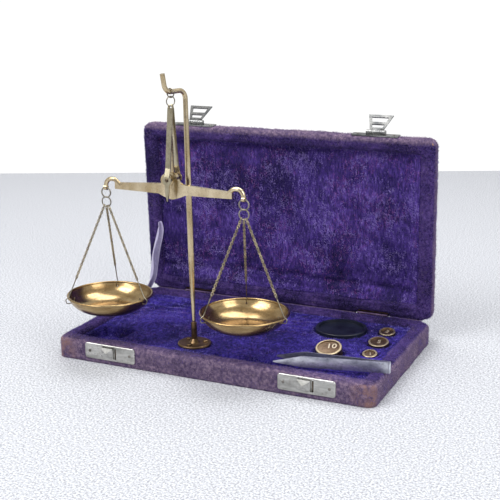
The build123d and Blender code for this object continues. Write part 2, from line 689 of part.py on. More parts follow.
def pointer():
    """A slender tongue that stands up from the beam between the fork's limbs."""
    height = POINTER_TOP_Z - PIVOT.Z
    half = [(POINTER_WIDTH / 2, 2.4), (POINTER_WIDTH * 0.4, height * 0.6), (0.2, height)]
    outline = Polyline(*half, *[(-x, z) for x, z in reversed(half)], close=True)
    face = Plane(origin=PIVOT, x_dir=(1, 0, 0), z_dir=(0, -1, 0))
    return extrude(face * make_face(outline), POINTER_THICKNESS / 2, both=True)


# ---------------------------------------------------------------- hangers, chains, pans
def eye_point(side):
    return PIVOT + Vector(side * ARM_LENGTH, 0, -EYE_DROP)


UPPER_LOOP_DROP = UPPER_LOOP_RADIUS + 0.08
END_LINK_HALF = 1.0 + CHAIN_WIRE
LINK_HALF = CHAIN_PITCH / 2 + CHAIN_WIRE
LINK_STEP = CHAIN_PITCH - CHAIN_SLACK
FIRST_LINK = 2 * END_LINK_HALF - LOOP_WIRE - 3 * CHAIN_WIRE - WIRE_GAP - CHAIN_SLACK + LINK_HALF
LAST_LINK = FIRST_LINK + (CHAIN_LINKS - 1) * LINK_STEP
LOWER_LOOP_DROP = UPPER_LOOP_DROP + UPPER_LOOP_RADIUS + LOWER_LOOP_RADIUS - LOOP_OVERLAP


def s_hook(side):
    eye = eye_point(side)
    upper = ring(eye - Vector(0, 0, UPPER_LOOP_DROP), UPPER_LOOP_RADIUS, LOOP_WIRE, (0, 1, 0))
    lower = ring(eye - Vector(0, 0, LOWER_LOOP_DROP), LOWER_LOOP_RADIUS, LOOP_WIRE, (0, 1, 0))
    return upper + lower


def pan(side):
    eye = eye_point(side)
    bottom = PAN_RIM_Z - PAN_DEPTH
    flat, rim, wall = PAN_FLAT_RADIUS, PAN_RIM_RADIUS, PAN_THICKNESS
    profile = Wire([
        Line((0, bottom), (flat, bottom)),
        ThreePointArc((flat, bottom), (rim - 4.0, bottom + 3.4), (rim + 0.3, PAN_RIM_Z)),
        Line((rim + 0.3, PAN_RIM_Z), (rim - 0.4, PAN_RIM_Z)),
        ThreePointArc((rim - 0.4, PAN_RIM_Z), (rim - 4.6, bottom + 3.9), (flat - 0.1, bottom + wall)),
        Line((flat - 0.1, bottom + wall), (0, bottom + wall)),
        Line((0, bottom + wall), (0, bottom)),
    ])
    dish = revolve(Plane.XZ * make_face(profile), Axis.Z)
    dish += Pos(0, 0, PAN_RIM_Z) * Torus(rim, PAN_BEAD_RADIUS)
    level = Vector(0, 0, PAN_RIM_Z - PAN_HOLE_DROP)
    for key in CHAIN_AZIMUTHS:
        outward = chain_direction(key)
        dish -= rod_between(level + outward * (rim - 5), level + outward * (rim + 5), PAN_HOLE_RADIUS)
    return Pos(eye.X, eye.Y, 0) * dish


def chain_direction(key):
    """The horizontal direction from a pan's centre to one of its chains."""
    azimuth = radians(CHAIN_AZIMUTHS[key])
    return Vector(cos(azimuth), sin(azimuth), 0)


def chain_line(side, key):
    """A chain's start on the hanger's lower loop, and the unit vector down it to the pan's rim."""
    eye = eye_point(side)
    seat = radians(CHAIN_SEATS[key])
    loop_centre = eye - Vector(0, 0, LOWER_LOOP_DROP)
    start = loop_centre + Vector(sin(seat), 0, -cos(seat)) * LOWER_LOOP_RADIUS
    end = Vector(eye.X, eye.Y, PAN_RIM_Z + 2.0) + chain_direction(key) * (PAN_RIM_RADIUS + 0.4)
    return start, (end - start).normalized()


def link(centre, along, across, half_length, half_width):
    """One oblong wire link; the lengths are to the middle of its wire."""
    normal = along.cross(across)
    plane = Plane(origin=centre, x_dir=along, z_dir=normal)
    straight = half_length - half_width
    w = half_width
    path = Wire([
        Line((-straight, w), (straight, w)),
        ThreePointArc((straight, w), (half_length, 0), (straight, -w)),
        Line((straight, -w), (-straight, -w)),
        ThreePointArc((-straight, -w), (-half_length, 0), (-straight, w)),
    ])
    path = plane * path
    section = Plane(origin=path @ 0, z_dir=path % 0) * Circle(CHAIN_WIRE)
    return sweep(section, path=path)


def link_sides(along, key):
    """The two directions that the links' flat sides take in turn, square to the chain."""
    seat = radians(CHAIN_SEATS[key])
    loop_tangent = Vector(cos(seat), 0, sin(seat))
    first = along.cross(loop_tangent).normalized()
    return first, along.cross(first).normalized()


def chain(side, key):
    """An end link on the hanger, then a chain of oblong links, each turned a quarter from the last."""
    start, along = chain_line(side, key)
    sides = link_sides(along, key)
    end_centre = start + along * (END_LINK_HALF - LOOP_WIRE - CHAIN_WIRE - WIRE_GAP)
    links = [link(end_centre, along, sides[0], END_LINK_HALF, END_LINK_HALF_WIDTH)]
    for i in range(CHAIN_LINKS):
        centre = start + along * (FIRST_LINK + i * LINK_STEP)
        links.append(link(centre, along, sides[(i + 1) % 2], LINK_HALF, LINK_HALF_WIDTH))
    return links


def pan_wire(side, key):
    """A thin wire from the chain's last link over the rim, in through the hole and up inside."""
    start, along = chain_line(side, key)
    reach = LAST_LINK + LINK_HALF + PAN_WIRE_EYE - CHAIN_WIRE - PAN_WIRE - WIRE_GAP
    eye_centre = start + along * reach
    across_last_link = link_sides(along, key)[CHAIN_LINKS % 2]
    eye = ring(eye_centre, PAN_WIRE_EYE, PAN_WIRE, across_last_link)
    hanger, rim = eye_point(side), PAN_RIM_RADIUS

    def at(radius, z):
        return Vector(hanger.X, hanger.Y, z) + chain_direction(key) * radius

    hole_z = PAN_RIM_Z - PAN_HOLE_DROP
    points = [
        eye_centre + along * PAN_WIRE_EYE, at(rim + 0.5, PAN_RIM_Z + 1.9),
        at(rim + 2.7, PAN_RIM_Z + 0.2), at(rim + 1.9, hole_z), at(rim - 2.3, hole_z),
        at(rim - 2.9, PAN_RIM_Z + 1.0),
    ]
    return eye + bent_wire(points, [1.0, 0.9, 0.8, 0.8], PAN_WIRE)


# ---------------------------------------------------------------- loose contents
def weight(name):
    x, y, radius, height, tilt, floor = WEIGHTS[name]
    disc = Cylinder(radius, height, align=(Align.CENTER, Align.CENTER, Align.MIN))
    disc = fillet(disc.edges().filter_by(GeomType.CIRCLE), 0.35)
    disc -= Pos(0, 0, height - WEIGHT_RECESS) * Cylinder(
        radius - WEIGHT_RIM, 2, align=(Align.CENTER, Align.CENTER, Align.MIN)
    )
    disc = disc.rotate(Axis.X, tilt)
    lift = radius * sin(radians(tilt)) + 0.08
    return Pos(x, y, floor + lift) * disc


def specimen_dish():
    dish = Cylinder(DISH_RADIUS, DISH_HEIGHT, align=(Align.CENTER, Align.CENTER, Align.MIN))
    dish = fillet(dish.edges().filter_by(GeomType.CIRCLE), 0.6)
    well = Pos(0, 0, DISH_HEIGHT - DISH_RECESS) * Cylinder(
        DISH_RADIUS - DISH_RIM, 4, align=(Align.CENTER, Align.CENTER, Align.MIN)
    )
    return Pos(*DISH_CENTRE, DISH_FLOOR + 0.06) * (dish - well)


def tweezer_blade(side):
    """One blade on edge, drawn out to a point: side +1 in front, with the rolled heel, -1 behind."""
    low = BASE_HEIGHT + 0.06
    high = low + TWEEZER_HEIGHT
    full = TWEEZER_LENGTH - TWEEZER_POINT
    side_view = Polyline(
        (0, low), (0, high), (full, high), (TWEEZER_LENGTH, low + TWEEZER_TIP[1]),
        (TWEEZER_LENGTH, low + TWEEZER_TIP[0]), (full, low), close=True,
    )
    strip = extrude(Plane.XZ * make_face(side_view), -TWEEZER_THICKNESS)
    if side < 0:
        strip = mirror(strip, Plane.XZ)
    strip = strip.rotate(Axis.Z, side * TWEEZER_HALF_ANGLE)
    strip = Pos(*TWEEZER_END, 0) * strip.rotate(Axis.Z, 180 + TWEEZER_TURN)
    heel = Pos(*TWEEZER_END, low) * Cylinder(
        HEEL_RADIUS + (0 if side > 0 else HEEL_CLEARANCE), TWEEZER_HEIGHT,
        align=(Align.CENTER, Align.CENTER, Align.MIN),
    )
    return strip + heel if side > 0 else strip - heel


def stay_ribbon():
    """A strip down the lid's left wall, folded over to lie forward along the base's left rim."""
    x = RIBBON_X
    back = RIM_BACK_Y + RIBBON_WIDTH - 2.0
    fall = Polyline(
        (back - RIBBON_WIDTH, RIBBON_REST_Z), (back, RIBBON_REST_Z), (back + 1, 30), (60, RIBBON_TOP_Z),
        (60 - RIBBON_WIDTH, RIBBON_TOP_Z), (back - RIBBON_WIDTH + 1, 30), close=True,
    )
    plane = Plane(origin=(x, 0, 0), x_dir=(0, 1, 0), z_dir=(1, 0, 0))
    hanging = extrude(plane * make_face(fall), RIBBON_THICKNESS)
    outer = -CASE_WIDTH / 2 + RIBBON_MARGIN
    lying = box(outer, x + RIBBON_THICKNESS, RIBBON_FRONT_Y, back,
                RIBBON_REST_Z, RIBBON_REST_Z + RIBBON_THICKNESS)
    return hanging + lying


# ---------------------------------------------------------------- lining with its pockets
def base_lining():
    pad = extrude(
        Pos(0, 0, BASE_BOARD) * RectangleRounded(INNER_WIDTH, INNER_DEPTH, INNER_CORNER_RADIUS),
        FLOOR_Z - BASE_BOARD,
    )
    for x, y, radius, height, tilt, floor in WEIGHTS.values():
        reach = radius + POCKET_CLEARANCE + height * sin(radians(tilt)) / 2
        pad -= Pos(x, y - height * sin(radians(tilt)) / 2, floor) * Cylinder(
            reach, 20, align=(Align.CENTER, Align.CENTER, Align.MIN)
        )
    pad -= Pos(*DISH_CENTRE, DISH_FLOOR) * Cylinder(
        DISH_RADIUS + POCKET_CLEARANCE, 20, align=(Align.CENTER, Align.CENTER, Align.MIN)
    )
    for x0, x1, y0, y1, floor in (TROUGH, FINGER_POCKET):
        hollow = box(x0, x1, y0, y1, floor, 30)
        pad -= fillet(hollow.edges().filter_by(Axis.Z), 2.5)
    for head in socket_screw_places():
        pad -= rod_between(head, head - Vector(0, 0, 7), SCREW_SHANK_RADIUS)
    return pad


# ---------------------------------------------------------------- put the nodes together
base_cover, base_core, base_board = base_case()
lid_cover, lid_core, lid_board, lid_pad = lid_case()

notches = [hinge_notch(x) for x in HINGE_XS]
cavities = [catch_cavity(side) for side in CATCH_XS]
plate_nails = [
    round_nail((x, FRONT_Y - PLATE_THICKNESS, PLATE_Z), (0, 1, 0), NAIL_LENGTH)
    for side in CATCH_XS
    for x in nail_xs(CATCH_XS[side])
]
leaf_nail_xs = [x + dx for x in HINGE_XS for dx in (-6.0, 6.0)]
base_leaf_nails = [
    round_nail((x, HINGE_Y + LEAF_THICKNESS, HINGE_Z - 5.6), (0, -1, 0), 4.0, 0.8) for x in leaf_nail_xs
]
lid_leaf_nails = [
    round_nail((x, HINGE_Y + LEAF_THICKNESS, HINGE_Z + 4.4), (0, -1, 0), 4.0, 0.8) for x in leaf_nail_xs
]
bracket_nails = [
    round_nail((x, FRONT_Y - HASP_BRACKET_THICKNESS, BRACKET_Z), (0, 1, 0), NAIL_LENGTH)
    for centre in CATCH_XS.values()
    for x in bracket_nail_xs(centre)
]


def without(shape, tools):
    for tool in tools:
        shape = shape - tool
    return shape


base_leaves = [without(hinge_leaf(x, -1), base_leaf_nails) for x in HINGE_XS]
lid_leaves = [without(hinge_leaf(x, +1), lid_leaf_nails) for x in HINGE_XS]

base_tools = notches + cavities + plate_nails + base_leaf_nails
lid_tools = notches + bracket_nails + lid_leaf_nails

parts["base_board"] = base_board
parts["base_frame"] = joined(
    without(rail, base_tools) for rail in rails(base_core, BASE_BOARD, BASE_HEIGHT)
)
parts["base_velvet_cover"] = without(base_cover, base_tools)
parts["base_lining"] = base_lining()
parts["lid_board"] = opened(lid_board)
parts["lid_frame"] = joined(
    opened(without(rail, lid_tools)) for rail in rails(lid_core, BASE_HEIGHT, BASE_HEIGHT + LID_HEIGHT)
)
parts["lid_velvet_cover"] = opened(without(lid_cover, lid_tools))
parts["lid_lining"] = opened(lid_pad)
parts["stay_ribbon"] = stay_ribbon()

parts["hinge_leaves_base"] = joined(base_leaves)
parts["hinge_leaves_lid"] = joined(opened(leaf) for leaf in lid_leaves)
parts["hinge_pins"] = joined(
    along_hinge(x - LEAF_LENGTH / 2, x + LEAF_LENGTH / 2, HINGE_PIN_RADIUS) for x in HINGE_XS
)
parts["hinge_nails_base"] = joined(base_leaf_nails)
parts["hinge_nails_lid"] = joined(opened(nail) for nail in lid_leaf_nails)

parts["catch_plate_pins"] = joined(plate_nails)
for side in CATCH_XS:
    parts[f"catch_plate_{side}"] = catch_plate(side)
    parts[f"catch_button_{side}"] = catch_button(side)
    parts[f"catch_spring_{side}"] = catch_spring(side)
    parts[f"hasp_bracket_{side}"] = opened(hasp_bracket(side))
    parts[f"hasp_{side}"] = opened(hasp(side))
parts["hasp_pins"] = joined(
    opened(along_hasp(x - BRACKET_KNUCKLE[1], x + BRACKET_KNUCKLE[1], HASP_PIN_RADIUS))
    for x in CATCH_XS.values()
)
parts["hasp_bracket_nails"] = joined(opened(nail) for nail in bracket_nails)

parts["post_socket"] = post_socket()
parts["socket_screws"] = joined(slotted_screw(head) for head in socket_screw_places())
parts["post"] = post()
parts["hook_ring"] = ring(
    Vector(PIVOT.X, PIVOT.Y, HOOK_RING_Z), HOOK_RING_RADIUS, RING_WIRE, horizontal(HOOK_RING_TURN)
)
parts["fork_ring"] = ring(
    Vector(PIVOT.X, PIVOT.Y, FORK_RING_Z), FORK_RING_RADIUS, RING_WIRE, horizontal(FORK_RING_TURN)
)
parts["suspension_fork"] = suspension_fork()
parts["beam"] = beam()
parts["knife_edge"] = knife_edge()
parts["pointer"] = pointer()

for name, side in (("left", -1), ("right", 1)):
    parts[f"s_hook_{name}"] = s_hook(side)
    parts[f"pan_{name}"] = pan(side)
    for key in CHAIN_AZIMUTHS:
        parts[f"chain_{name}_{key}"] = joined(chain(side, key))
    parts[f"pan_wires_{name}"] = joined(pan_wire(side, key) for key in CHAIN_AZIMUTHS)

for name in WEIGHTS:
    parts[name] = weight(name)
parts["specimen_dish"] = specimen_dish()
parts["tweezer_blade_front"] = tweezer_blade(+1)
parts["tweezer_blade_back"] = tweezer_blade(-1)

os.makedirs("parts", exist_ok=True)
for name, shape in parts.items():
    shape.label = name
    export_step(shape, f"parts/{name}.step")
print(len(parts), "nodes")
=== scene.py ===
"""Looks for the hanging travel balance in its velvet case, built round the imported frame. Metres, +Z up."""

import json
import math

import bmesh
import bpy
import numpy as np
from mathutils import Matrix, Vector, noise

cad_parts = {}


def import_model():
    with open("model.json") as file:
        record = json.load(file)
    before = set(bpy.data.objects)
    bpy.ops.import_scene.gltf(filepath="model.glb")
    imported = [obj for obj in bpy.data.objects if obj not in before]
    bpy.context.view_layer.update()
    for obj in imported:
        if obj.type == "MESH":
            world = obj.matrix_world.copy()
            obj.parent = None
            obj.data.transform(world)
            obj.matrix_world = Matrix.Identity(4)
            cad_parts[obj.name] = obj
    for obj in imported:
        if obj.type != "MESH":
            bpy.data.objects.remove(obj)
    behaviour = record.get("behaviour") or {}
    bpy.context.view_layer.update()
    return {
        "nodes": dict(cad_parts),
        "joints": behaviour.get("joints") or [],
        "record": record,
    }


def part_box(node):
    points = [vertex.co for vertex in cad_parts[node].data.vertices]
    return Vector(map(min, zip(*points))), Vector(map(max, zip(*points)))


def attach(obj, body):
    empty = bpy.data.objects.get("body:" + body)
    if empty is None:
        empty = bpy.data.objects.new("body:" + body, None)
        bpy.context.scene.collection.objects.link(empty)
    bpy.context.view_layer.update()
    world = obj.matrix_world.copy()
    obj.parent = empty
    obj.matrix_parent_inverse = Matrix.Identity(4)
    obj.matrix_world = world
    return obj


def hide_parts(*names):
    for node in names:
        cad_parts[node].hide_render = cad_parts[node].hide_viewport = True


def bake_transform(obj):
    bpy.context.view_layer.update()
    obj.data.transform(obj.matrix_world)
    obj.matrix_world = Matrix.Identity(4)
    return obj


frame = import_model()
NODES = frame["nodes"]
JOINTS = {joint["name"]: joint for joint in frame["joints"]}
OPENINGS = {opening["name"]: opening["box_m"] for opening in frame["record"]["physics"]["openings"]}

MM = 0.001
SEED = 11

# ---- camera and light ----
CAMERA_PLACE = (0.24937, -0.54633, 0.22139)
CAMERA_AZIMUTH = 24.343
CAMERA_ELEVATION = 14.771
CAMERA_ROLL = 0.305
CAMERA_LENS = 74.3
SENSOR_WIDTH = 36.0
TABLE_BACK_EDGE = 1.2
WORLD_LIGHT = 0.66
ROOM_DARK = 0.15
DARK_BAND = (-0.985, -0.82)
WHITE_BACK = 1.05

# ---- case, millimetres ----
LID_OPEN_ANGLE = 87.0
EDGE_RADIUS = 3.0
CORNER_RADIUS = 5.5
INNER_CORNER_RADIUS = 3.0
LID_HEIGHT = 9.0
SKIN = 0.7
DEEPEST_DIP = 0.4
HINGE_TONGUE = 1.2
HINGE_SPAN = 20.4
KNUCKLE_HOLE = 1.9
PAD_THICKNESS = 3.4
PLATE_MARGIN = 0.6
SMALLEST_CORNER = 0.4
HALF_SEAM = 0.005
WELD_DISTANCE = 0.02
LOWEST_CLOTH = 0.05
PATH_STEP = 1.3
ARC_STEPS = 5
LINING_STEP = 0.9
LINING_TUCK = 0.5

# ---- velvet pile, millimetres ----
PILE_PER_MM2 = 2.4
TUFT_RADIUS = 0.13
LOWEST_TUFT = 0.05
ROOT_DEPTH = 0.12
LEAST_RISE = 0.25
STAND = 0.8
SWIRLS = ((0.7, 14.0, 100), (0.6, 3.0, 70))

# ---- stay ribbon, millimetres ----
RIBBON_WIDTH = 10.5
RIBBON_ROUTE = ((-89.4, 54.6, 61.0), (-89.6, 44.0, 47.0), (-93.0, 43.5, 28.0), (-96.3, 50.0, 14.4))
RIBBON_ROWS = 64
RIBBON_COLUMNS = 13

# ---- brass weights, millimetres ----
# Paler raised rims of the weights: rubbed brass plus a painted highlight.
RIM_PALING_DEPTH = 0.5
RUBBED_BRASS_AND_HIGHLIGHT = (206, 190, 156)
NUMERALS = {
    # digits: (height, turn in degrees, shift from the middle)
    "10": (6.2, 12, (1.2, 1.0)),
    "5": (5.0, 8, (0.2, 0.2)),
    "2": (4.2, -14, (0.0, 0.2)),
    "1": (3.6, 20, (0.2, 0.1)),
}
WEIGHTS = [f"weight_{digits}" for digits in NUMERALS]


# ---------------------------------------------------------------- small helpers
def linear(colour):
    """An 8-bit display colour as scene-linear RGBA."""
    channels = [c / 255 for c in colour]
    return [c / 12.92 if c <= 0.04045 else ((c + 0.055) / 1.055) ** 2.4 for c in channels] + [1.0]


def mm(vector):
    """Metres as an array of millimetres."""
    return np.array(vector, float) / MM


def node_box(name):
    """A node's low and high corner in millimetres."""
    low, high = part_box(name)
    return mm(low), mm(high)


def smoothstep(low, high, value):
    """0 before low, 1 past high and smooth between; low may be the larger of the two."""
    t = np.clip((value - low) / (high - low), 0, 1)
    return t * t * (3 - 2 * t)


def noise_at(points, scale, octaves=3):
    """Fractal noise of many points in millimetres, from about -1 to 1; scale is the size of a lump."""
    return np.array([noise.fractal(Vector(p) / scale, 1.0, 2.0, octaves) for p in points])


def new_mesh(name, points, faces, material, smooth=True):
    """An object from points in millimetres."""
    mesh = bpy.data.meshes.new(name)
    mesh.from_pydata((np.asarray(points) * MM).tolist(), [], [list(f) for f in faces])
    mesh.update()
    if smooth:
        mesh.shade_smooth()
    else:
        mesh.shade_flat()
    obj = bpy.data.objects.new(name, mesh)
    bpy.context.scene.collection.objects.link(obj)
    mesh.materials.append(material)
    return obj


def grid_faces(rows, columns, closed=False):
    """Quads of a grid of points; closed joins the last column to the first."""
    last = columns if closed else columns - 1
    return [
        (r * columns + c, r * columns + (c + 1) % columns,
         (r + 1) * columns + (c + 1) % columns, (r + 1) * columns + c)
        for r in range(rows - 1) for c in range(last)
    ]


HINGE = mm(JOINTS["lid_hinge"]["pos_m"])


def opened(points):
    """Closed-lid points swung to the open lid's place."""
    angle = math.radians(-LID_OPEN_ANGLE)
    points = np.asarray(points, float) - HINGE
    y = points[:, 1] * math.cos(angle) - points[:, 2] * math.sin(angle)
    z = points[:, 1] * math.sin(angle) + points[:, 2] * math.cos(angle)
    return np.column_stack([points[:, 0], y, z]) + HINGE


# ---------------------------------------------------------------- materials
class Shader:
    """A Principled material and short ways to wire nodes into it."""

    def __init__(self, name, **sockets):
        self.material = bpy.data.materials.new(name)
        self.material.use_nodes = True
        self.tree = self.material.node_tree
        self.surface = self.tree.nodes["Principled BSDF"]
        for socket, value in sockets.items():
            self.surface.inputs[socket.replace("_", " ")].default_value = value
        self.place = self.tree.nodes.new("ShaderNodeTexCoord").outputs["Object"]

    def add(self, kind, inputs=(), **settings):
        """A node with its inputs set, or linked where the value is another node's output."""
        node = self.tree.nodes.new(kind)
        for key, value in settings.items():
            setattr(node, key, value)
        for key, value in dict(inputs).items():
            if isinstance(value, bpy.types.NodeSocket):
                self.tree.links.new(value, node.inputs[key])
            else:
                node.inputs[key].default_value = value
        return node

    def stretched(self, x, y, z):
        """Object coordinates scaled along each axis, to draw noise out along the smallest."""
        mapping = self.add("ShaderNodeMapping", {"Vector": self.place, "Scale": (x, y, z)})
        return mapping.outputs["Vector"]

    def noise(self, scale, detail=3.0, rough=0.55, vector=None):
        inputs = {"Vector": vector or self.place, "Scale": scale, "Detail": detail, "Roughness": rough}
        return self.add("ShaderNodeTexNoise", inputs).outputs["Fac"]

    def ramp(self, value, stops):
        """Colours at places along a value: 8-bit display colours, or scene-linear ones with alpha."""
        node = self.add("ShaderNodeValToRGB", {"Fac": value})
        elements = node.color_ramp.elements
        while len(elements) < len(stops):
            elements.new(0.5)
        for element, (position, colour) in zip(elements, stops):
            element.position = position
            element.color = colour if len(colour) == 4 else linear(colour)
        return node.outputs["Color"]

    def grey(self, value, low, high, dark=0.0, light=1.0):
        """A ramp from one grey level to another, used as a factor."""
        return self.ramp(value, [(low, [dark] * 3 + [1.0]), (high, [light] * 3 + [1.0])])

    def mix(self, factor, first, second, blend="MIX"):
        node = self.add("ShaderNodeMix", data_type="RGBA", blend_type=blend)
        for socket, value in zip((0, 6, 7), (factor, first, second)):
            if isinstance(value, bpy.types.NodeSocket):
                self.tree.links.new(value, node.inputs[socket])
            else:
                node.inputs[socket].default_value = value
        return node.outputs[2]

    def attribute(self, name):
        return self.add("ShaderNodeAttribute", attribute_name=name).outputs["Fac"]

    def math(self, operation, first, second):
        return self.add("ShaderNodeMath", {0: first, 1: second}, operation=operation).outputs[0]

    def wire(self, socket, value):
        self.tree.links.new(value, self.surface.inputs[socket])

    def bump(self, height, strength, distance):
        node = self.add("ShaderNodeBump", {"Height": height, "Strength": strength, "Distance": distance})
        self.wire("Normal", node.outputs["Normal"])


def velvet(name, dark, middle, light, streak, worn=None, brown=None):
    """Velvet cloth under its pile: streaks along the nap, patches where the nap lies otherwise."""
    s = Shader(name, Roughness=0.85, Sheen_Weight=0.35, Sheen_Roughness=0.45,
               Sheen_Tint=linear(light), Specular_IOR_Level=0.15)
    nap = s.noise(1.0, 3.0, 0.6, s.stretched(*streak))
    patches = s.noise(38.0, 4.0, 0.6)
    colour = s.ramp(nap, [(0.3, dark), (0.5, middle), (0.72, light)])
    shade = s.ramp(patches, [(0.38, (88, 74, 124)), (0.52, (194, 180, 210)), (0.64, (255, 244, 255))])
    colour = s.mix(0.9, colour, shade, "MULTIPLY")
    if worn:
        wear = s.attribute("wear")
        broken = s.math("ADD", wear, s.math("MULTIPLY", s.math("SUBTRACT", patches, 0.5), 0.9))
        threadbare = s.ramp(nap, [(0.3, worn[0]), (0.5, worn[1]), (0.7, worn[2])])
        colour = s.mix(s.grey(broken, 0.15, 0.75), colour, threadbare)
        corner = s.attribute("corner")
        colour = s.mix(s.math("MULTIPLY", corner, s.grey(s.noise(230.0), 0.35, 0.6)), colour, linear(brown))
    s.wire("Base Color", colour)
    s.bump(nap, 0.5, 0.0006)
    return s.material


def plain_fibre(name, colour):
    return Shader(name, Base_Color=linear(colour), Roughness=0.75, Sheen_Weight=0.25,
                  Sheen_Roughness=0.4, Sheen_Tint=linear((200, 185, 230))).material


def metal(name, dark, light, roughness=(0.2, 0.4), grain=(60, 60, 60), grime=None, tarnish=0.4, rubbed_highlight=None):
    """A worn metal: slow tone changes, scratches along the grain, grime in patches, and past a plane a paler
    rim of rubbed brass with a painted highlight.
    """
    s = Shader(name, Metallic=1.0)
    tone = s.noise(1.0, 4.0, 0.6, s.stretched(*grain))
    colour = s.ramp(tone, [(0.35, dark), (0.62, light)])
    if grime:
        spots = s.noise(420.0, 5.0, 0.65)
        colour = s.mix(s.grey(spots, 0.52, 0.72, 0.0, tarnish), colour, linear(grime))
    # Past the plane the raised rim is paled: rubbed brass plus a painted highlight.
    if rubbed_highlight:
        normal, level = rubbed_highlight
        along = s.add("ShaderNodeVectorMath", {0: s.place, 1: normal}, operation="DOT_PRODUCT")
        above = s.math("SUBTRACT", along.outputs["Value"], level)
        above = s.math("MULTIPLY", above, 1 / (RIM_PALING_DEPTH * MM))
        colour = s.mix(s.grey(above, 0.2, 1.0, 0.0, 0.85), colour, linear(RUBBED_BRASS_AND_HIGHLIGHT))
    s.wire("Base Color", colour)
    s.wire("Roughness", s.grey(tone, 0.3, 0.7, roughness[1], roughness[0]))
    s.bump(s.noise(1800.0, 2.0), 0.08, 0.0001)
    return s.material


INNER_FIBRES = [(34, 22, 88), (82, 62, 154), (126, 102, 196), (168, 148, 222), (128, 56, 142), (166, 98, 178)]
FLOOR_FIBRES = [(18, 12, 66), (48, 38, 136), (84, 74, 182), (126, 114, 206), (84, 44, 130), (114, 78, 164)]
COVER_FIBRES = INNER_FIBRES[:2] + [(90, 74, 114), (122, 102, 130), (164, 144, 158), (206, 188, 200)]
MATERIALS = {
    "velvet_inner": velvet("velvet_inner", (34, 22, 80), (70, 52, 126), (112, 90, 170), (900, 900, 260)),
    "velvet_floor": velvet("velvet_floor", (20, 12, 74), (50, 40, 130), (92, 78, 176), (700, 380, 900)),
    "velvet_cover": velvet(
        "velvet_cover", (34, 22, 70), (70, 54, 108), (102, 84, 140), (600, 600, 600),
        worn=((68, 54, 84), (98, 82, 108), (136, 116, 136)), brown=(132, 102, 98),
    ),
    "brass": metal("aged_brass", (182, 162, 126), (220, 204, 172), (0.16, 0.3), (90, 90, 30),
                   (108, 90, 62)),
    "fork_brass": metal("fork_brass", (160, 150, 124), (208, 200, 176), (0.2, 0.36), (90, 90, 30),
                        (104, 94, 70)),
    "pan_brass": metal("pan_brass", (142, 116, 78), (184, 160, 118), (0.15, 0.27), (60, 60, 400),
                       (98, 68, 38), 0.5),
    "dark_brass": metal("dark_brass", (82, 64, 48), (150, 124, 90), (0.28, 0.48), (90, 90, 90), (46, 32, 26)),
    "numeral": metal("numeral", (212, 200, 176), (236, 228, 208), (0.4, 0.5)),
    "hinge_brass": metal("hinge_brass", (40, 30, 54), (74, 60, 80), (0.4, 0.55)),
    "wire": metal("wire", (104, 98, 88), (168, 162, 148), (0.24, 0.4), (400, 400, 400), (60, 52, 42)),
    "chain": metal("chain", (116, 104, 84), (192, 180, 152), (0.24, 0.4), (400, 400, 400), (48, 40, 32)),
    "nickel": metal("nickel", (158, 158, 154), (200, 199, 195), (0.26, 0.46), (80, 300, 300),
                    (110, 102, 92), 0.5),
    # The nickel darkened as painted shade, so the hasps show a darker reflection than the catch plates.
    "shaded_hasp_nickel": metal("shaded_hasp_nickel", (94, 96, 98), (156, 156, 154), (0.2, 0.36), (120, 120, 120),
                         (84, 80, 74), 0.5),
    "pin": metal("pin", (96, 92, 88), (150, 146, 140), (0.26, 0.44)),
    "steel": metal("steel", (150, 154, 168), (226, 228, 236), (0.26, 0.44), (90, 200, 200),
                   (84, 84, 96), 0.5),
    "spring_steel": metal("spring_steel", (96, 80, 66), (140, 124, 108), (0.3, 0.5)),
}


def ribbon_material():
    s = Shader("satin", Roughness=0.38, Sheen_Weight=0.3, Sheen_Tint=linear((235, 230, 250)))
    threads = s.noise(1.0, 2.0, 0.5, s.stretched(3000, 3000, 260))
    s.wire("Base Color", s.ramp(threads, [(0.3, (150, 142, 176)), (0.7, (190, 184, 212))]))
    s.bump(threads, 0.25, 0.0002)
    return s.material


def wood_material():
    s = Shader("softwood", Roughness=0.7)
    grain = s.noise(1.0, 5.0, 0.6, s.stretched(30, 400, 400))
    s.wire("Base Color", s.ramp(grain, [(0.3, (120, 86, 56)), (0.7, (176, 138, 98))]))
    s.bump(grain, 0.3, 0.0003)
    return s.material


def dish_material():
    s = Shader("black_horn", Specular_IOR_Level=0.5)
    smears = s.noise(90.0, 5.0, 0.65)
    s.wire("Base Color", s.ramp(smears, [(0.35, (10, 13, 24)), (0.68, (26, 32, 50))]))
    s.wire("Roughness", s.grey(smears, 0.35, 0.7, 0.3, 0.52))
    s.bump(s.noise(700.0, 3.0), 0.1, 0.0002)
    return s.material


MATERIALS |= {"ribbon": ribbon_material(), "wood": wood_material(), "black": dish_material()}


def paint(material, *names):
    """A better material on CAD nodes."""
    for name in names:
        NODES[name].data.materials.clear()
        NODES[name].data.materials.append(MATERIALS[material])


SIDES = ("left", "right")
paint("wood", "base_board", "base_frame", "lid_board", "lid_frame")
paint("brass", "post", "beam", "pointer")
paint("hinge_brass", "hinge_leaves_base", "hinge_leaves_lid", "hinge_pins", "hinge_nails_base",
      "hinge_nails_lid")
paint("fork_brass", "suspension_fork")
paint("dark_brass", "post_socket", "socket_screws")
paint("pan_brass", "pan_left", "pan_right")
paint("wire", "hook_ring", "fork_ring", "s_hook_left", "s_hook_right", "pan_wires_left", "pan_wires_right")
paint("chain", *[f"chain_{side}_{key}" for side in SIDES for key in "abc"])
paint("nickel", *[f"{part}_{side}" for part in ("catch_plate", "catch_button") for side in SIDES])
# Hasps and their brackets take the nickel darkened as painted shade.
paint("shaded_hasp_nickel", *[f"{part}_{side}" for part in ("hasp_bracket", "hasp") for side in SIDES])
paint("pin", "hasp_pins", "hasp_bracket_nails", "catch_plate_pins")
paint("spring_steel", "catch_spring_left", "catch_spring_right", "knife_edge")


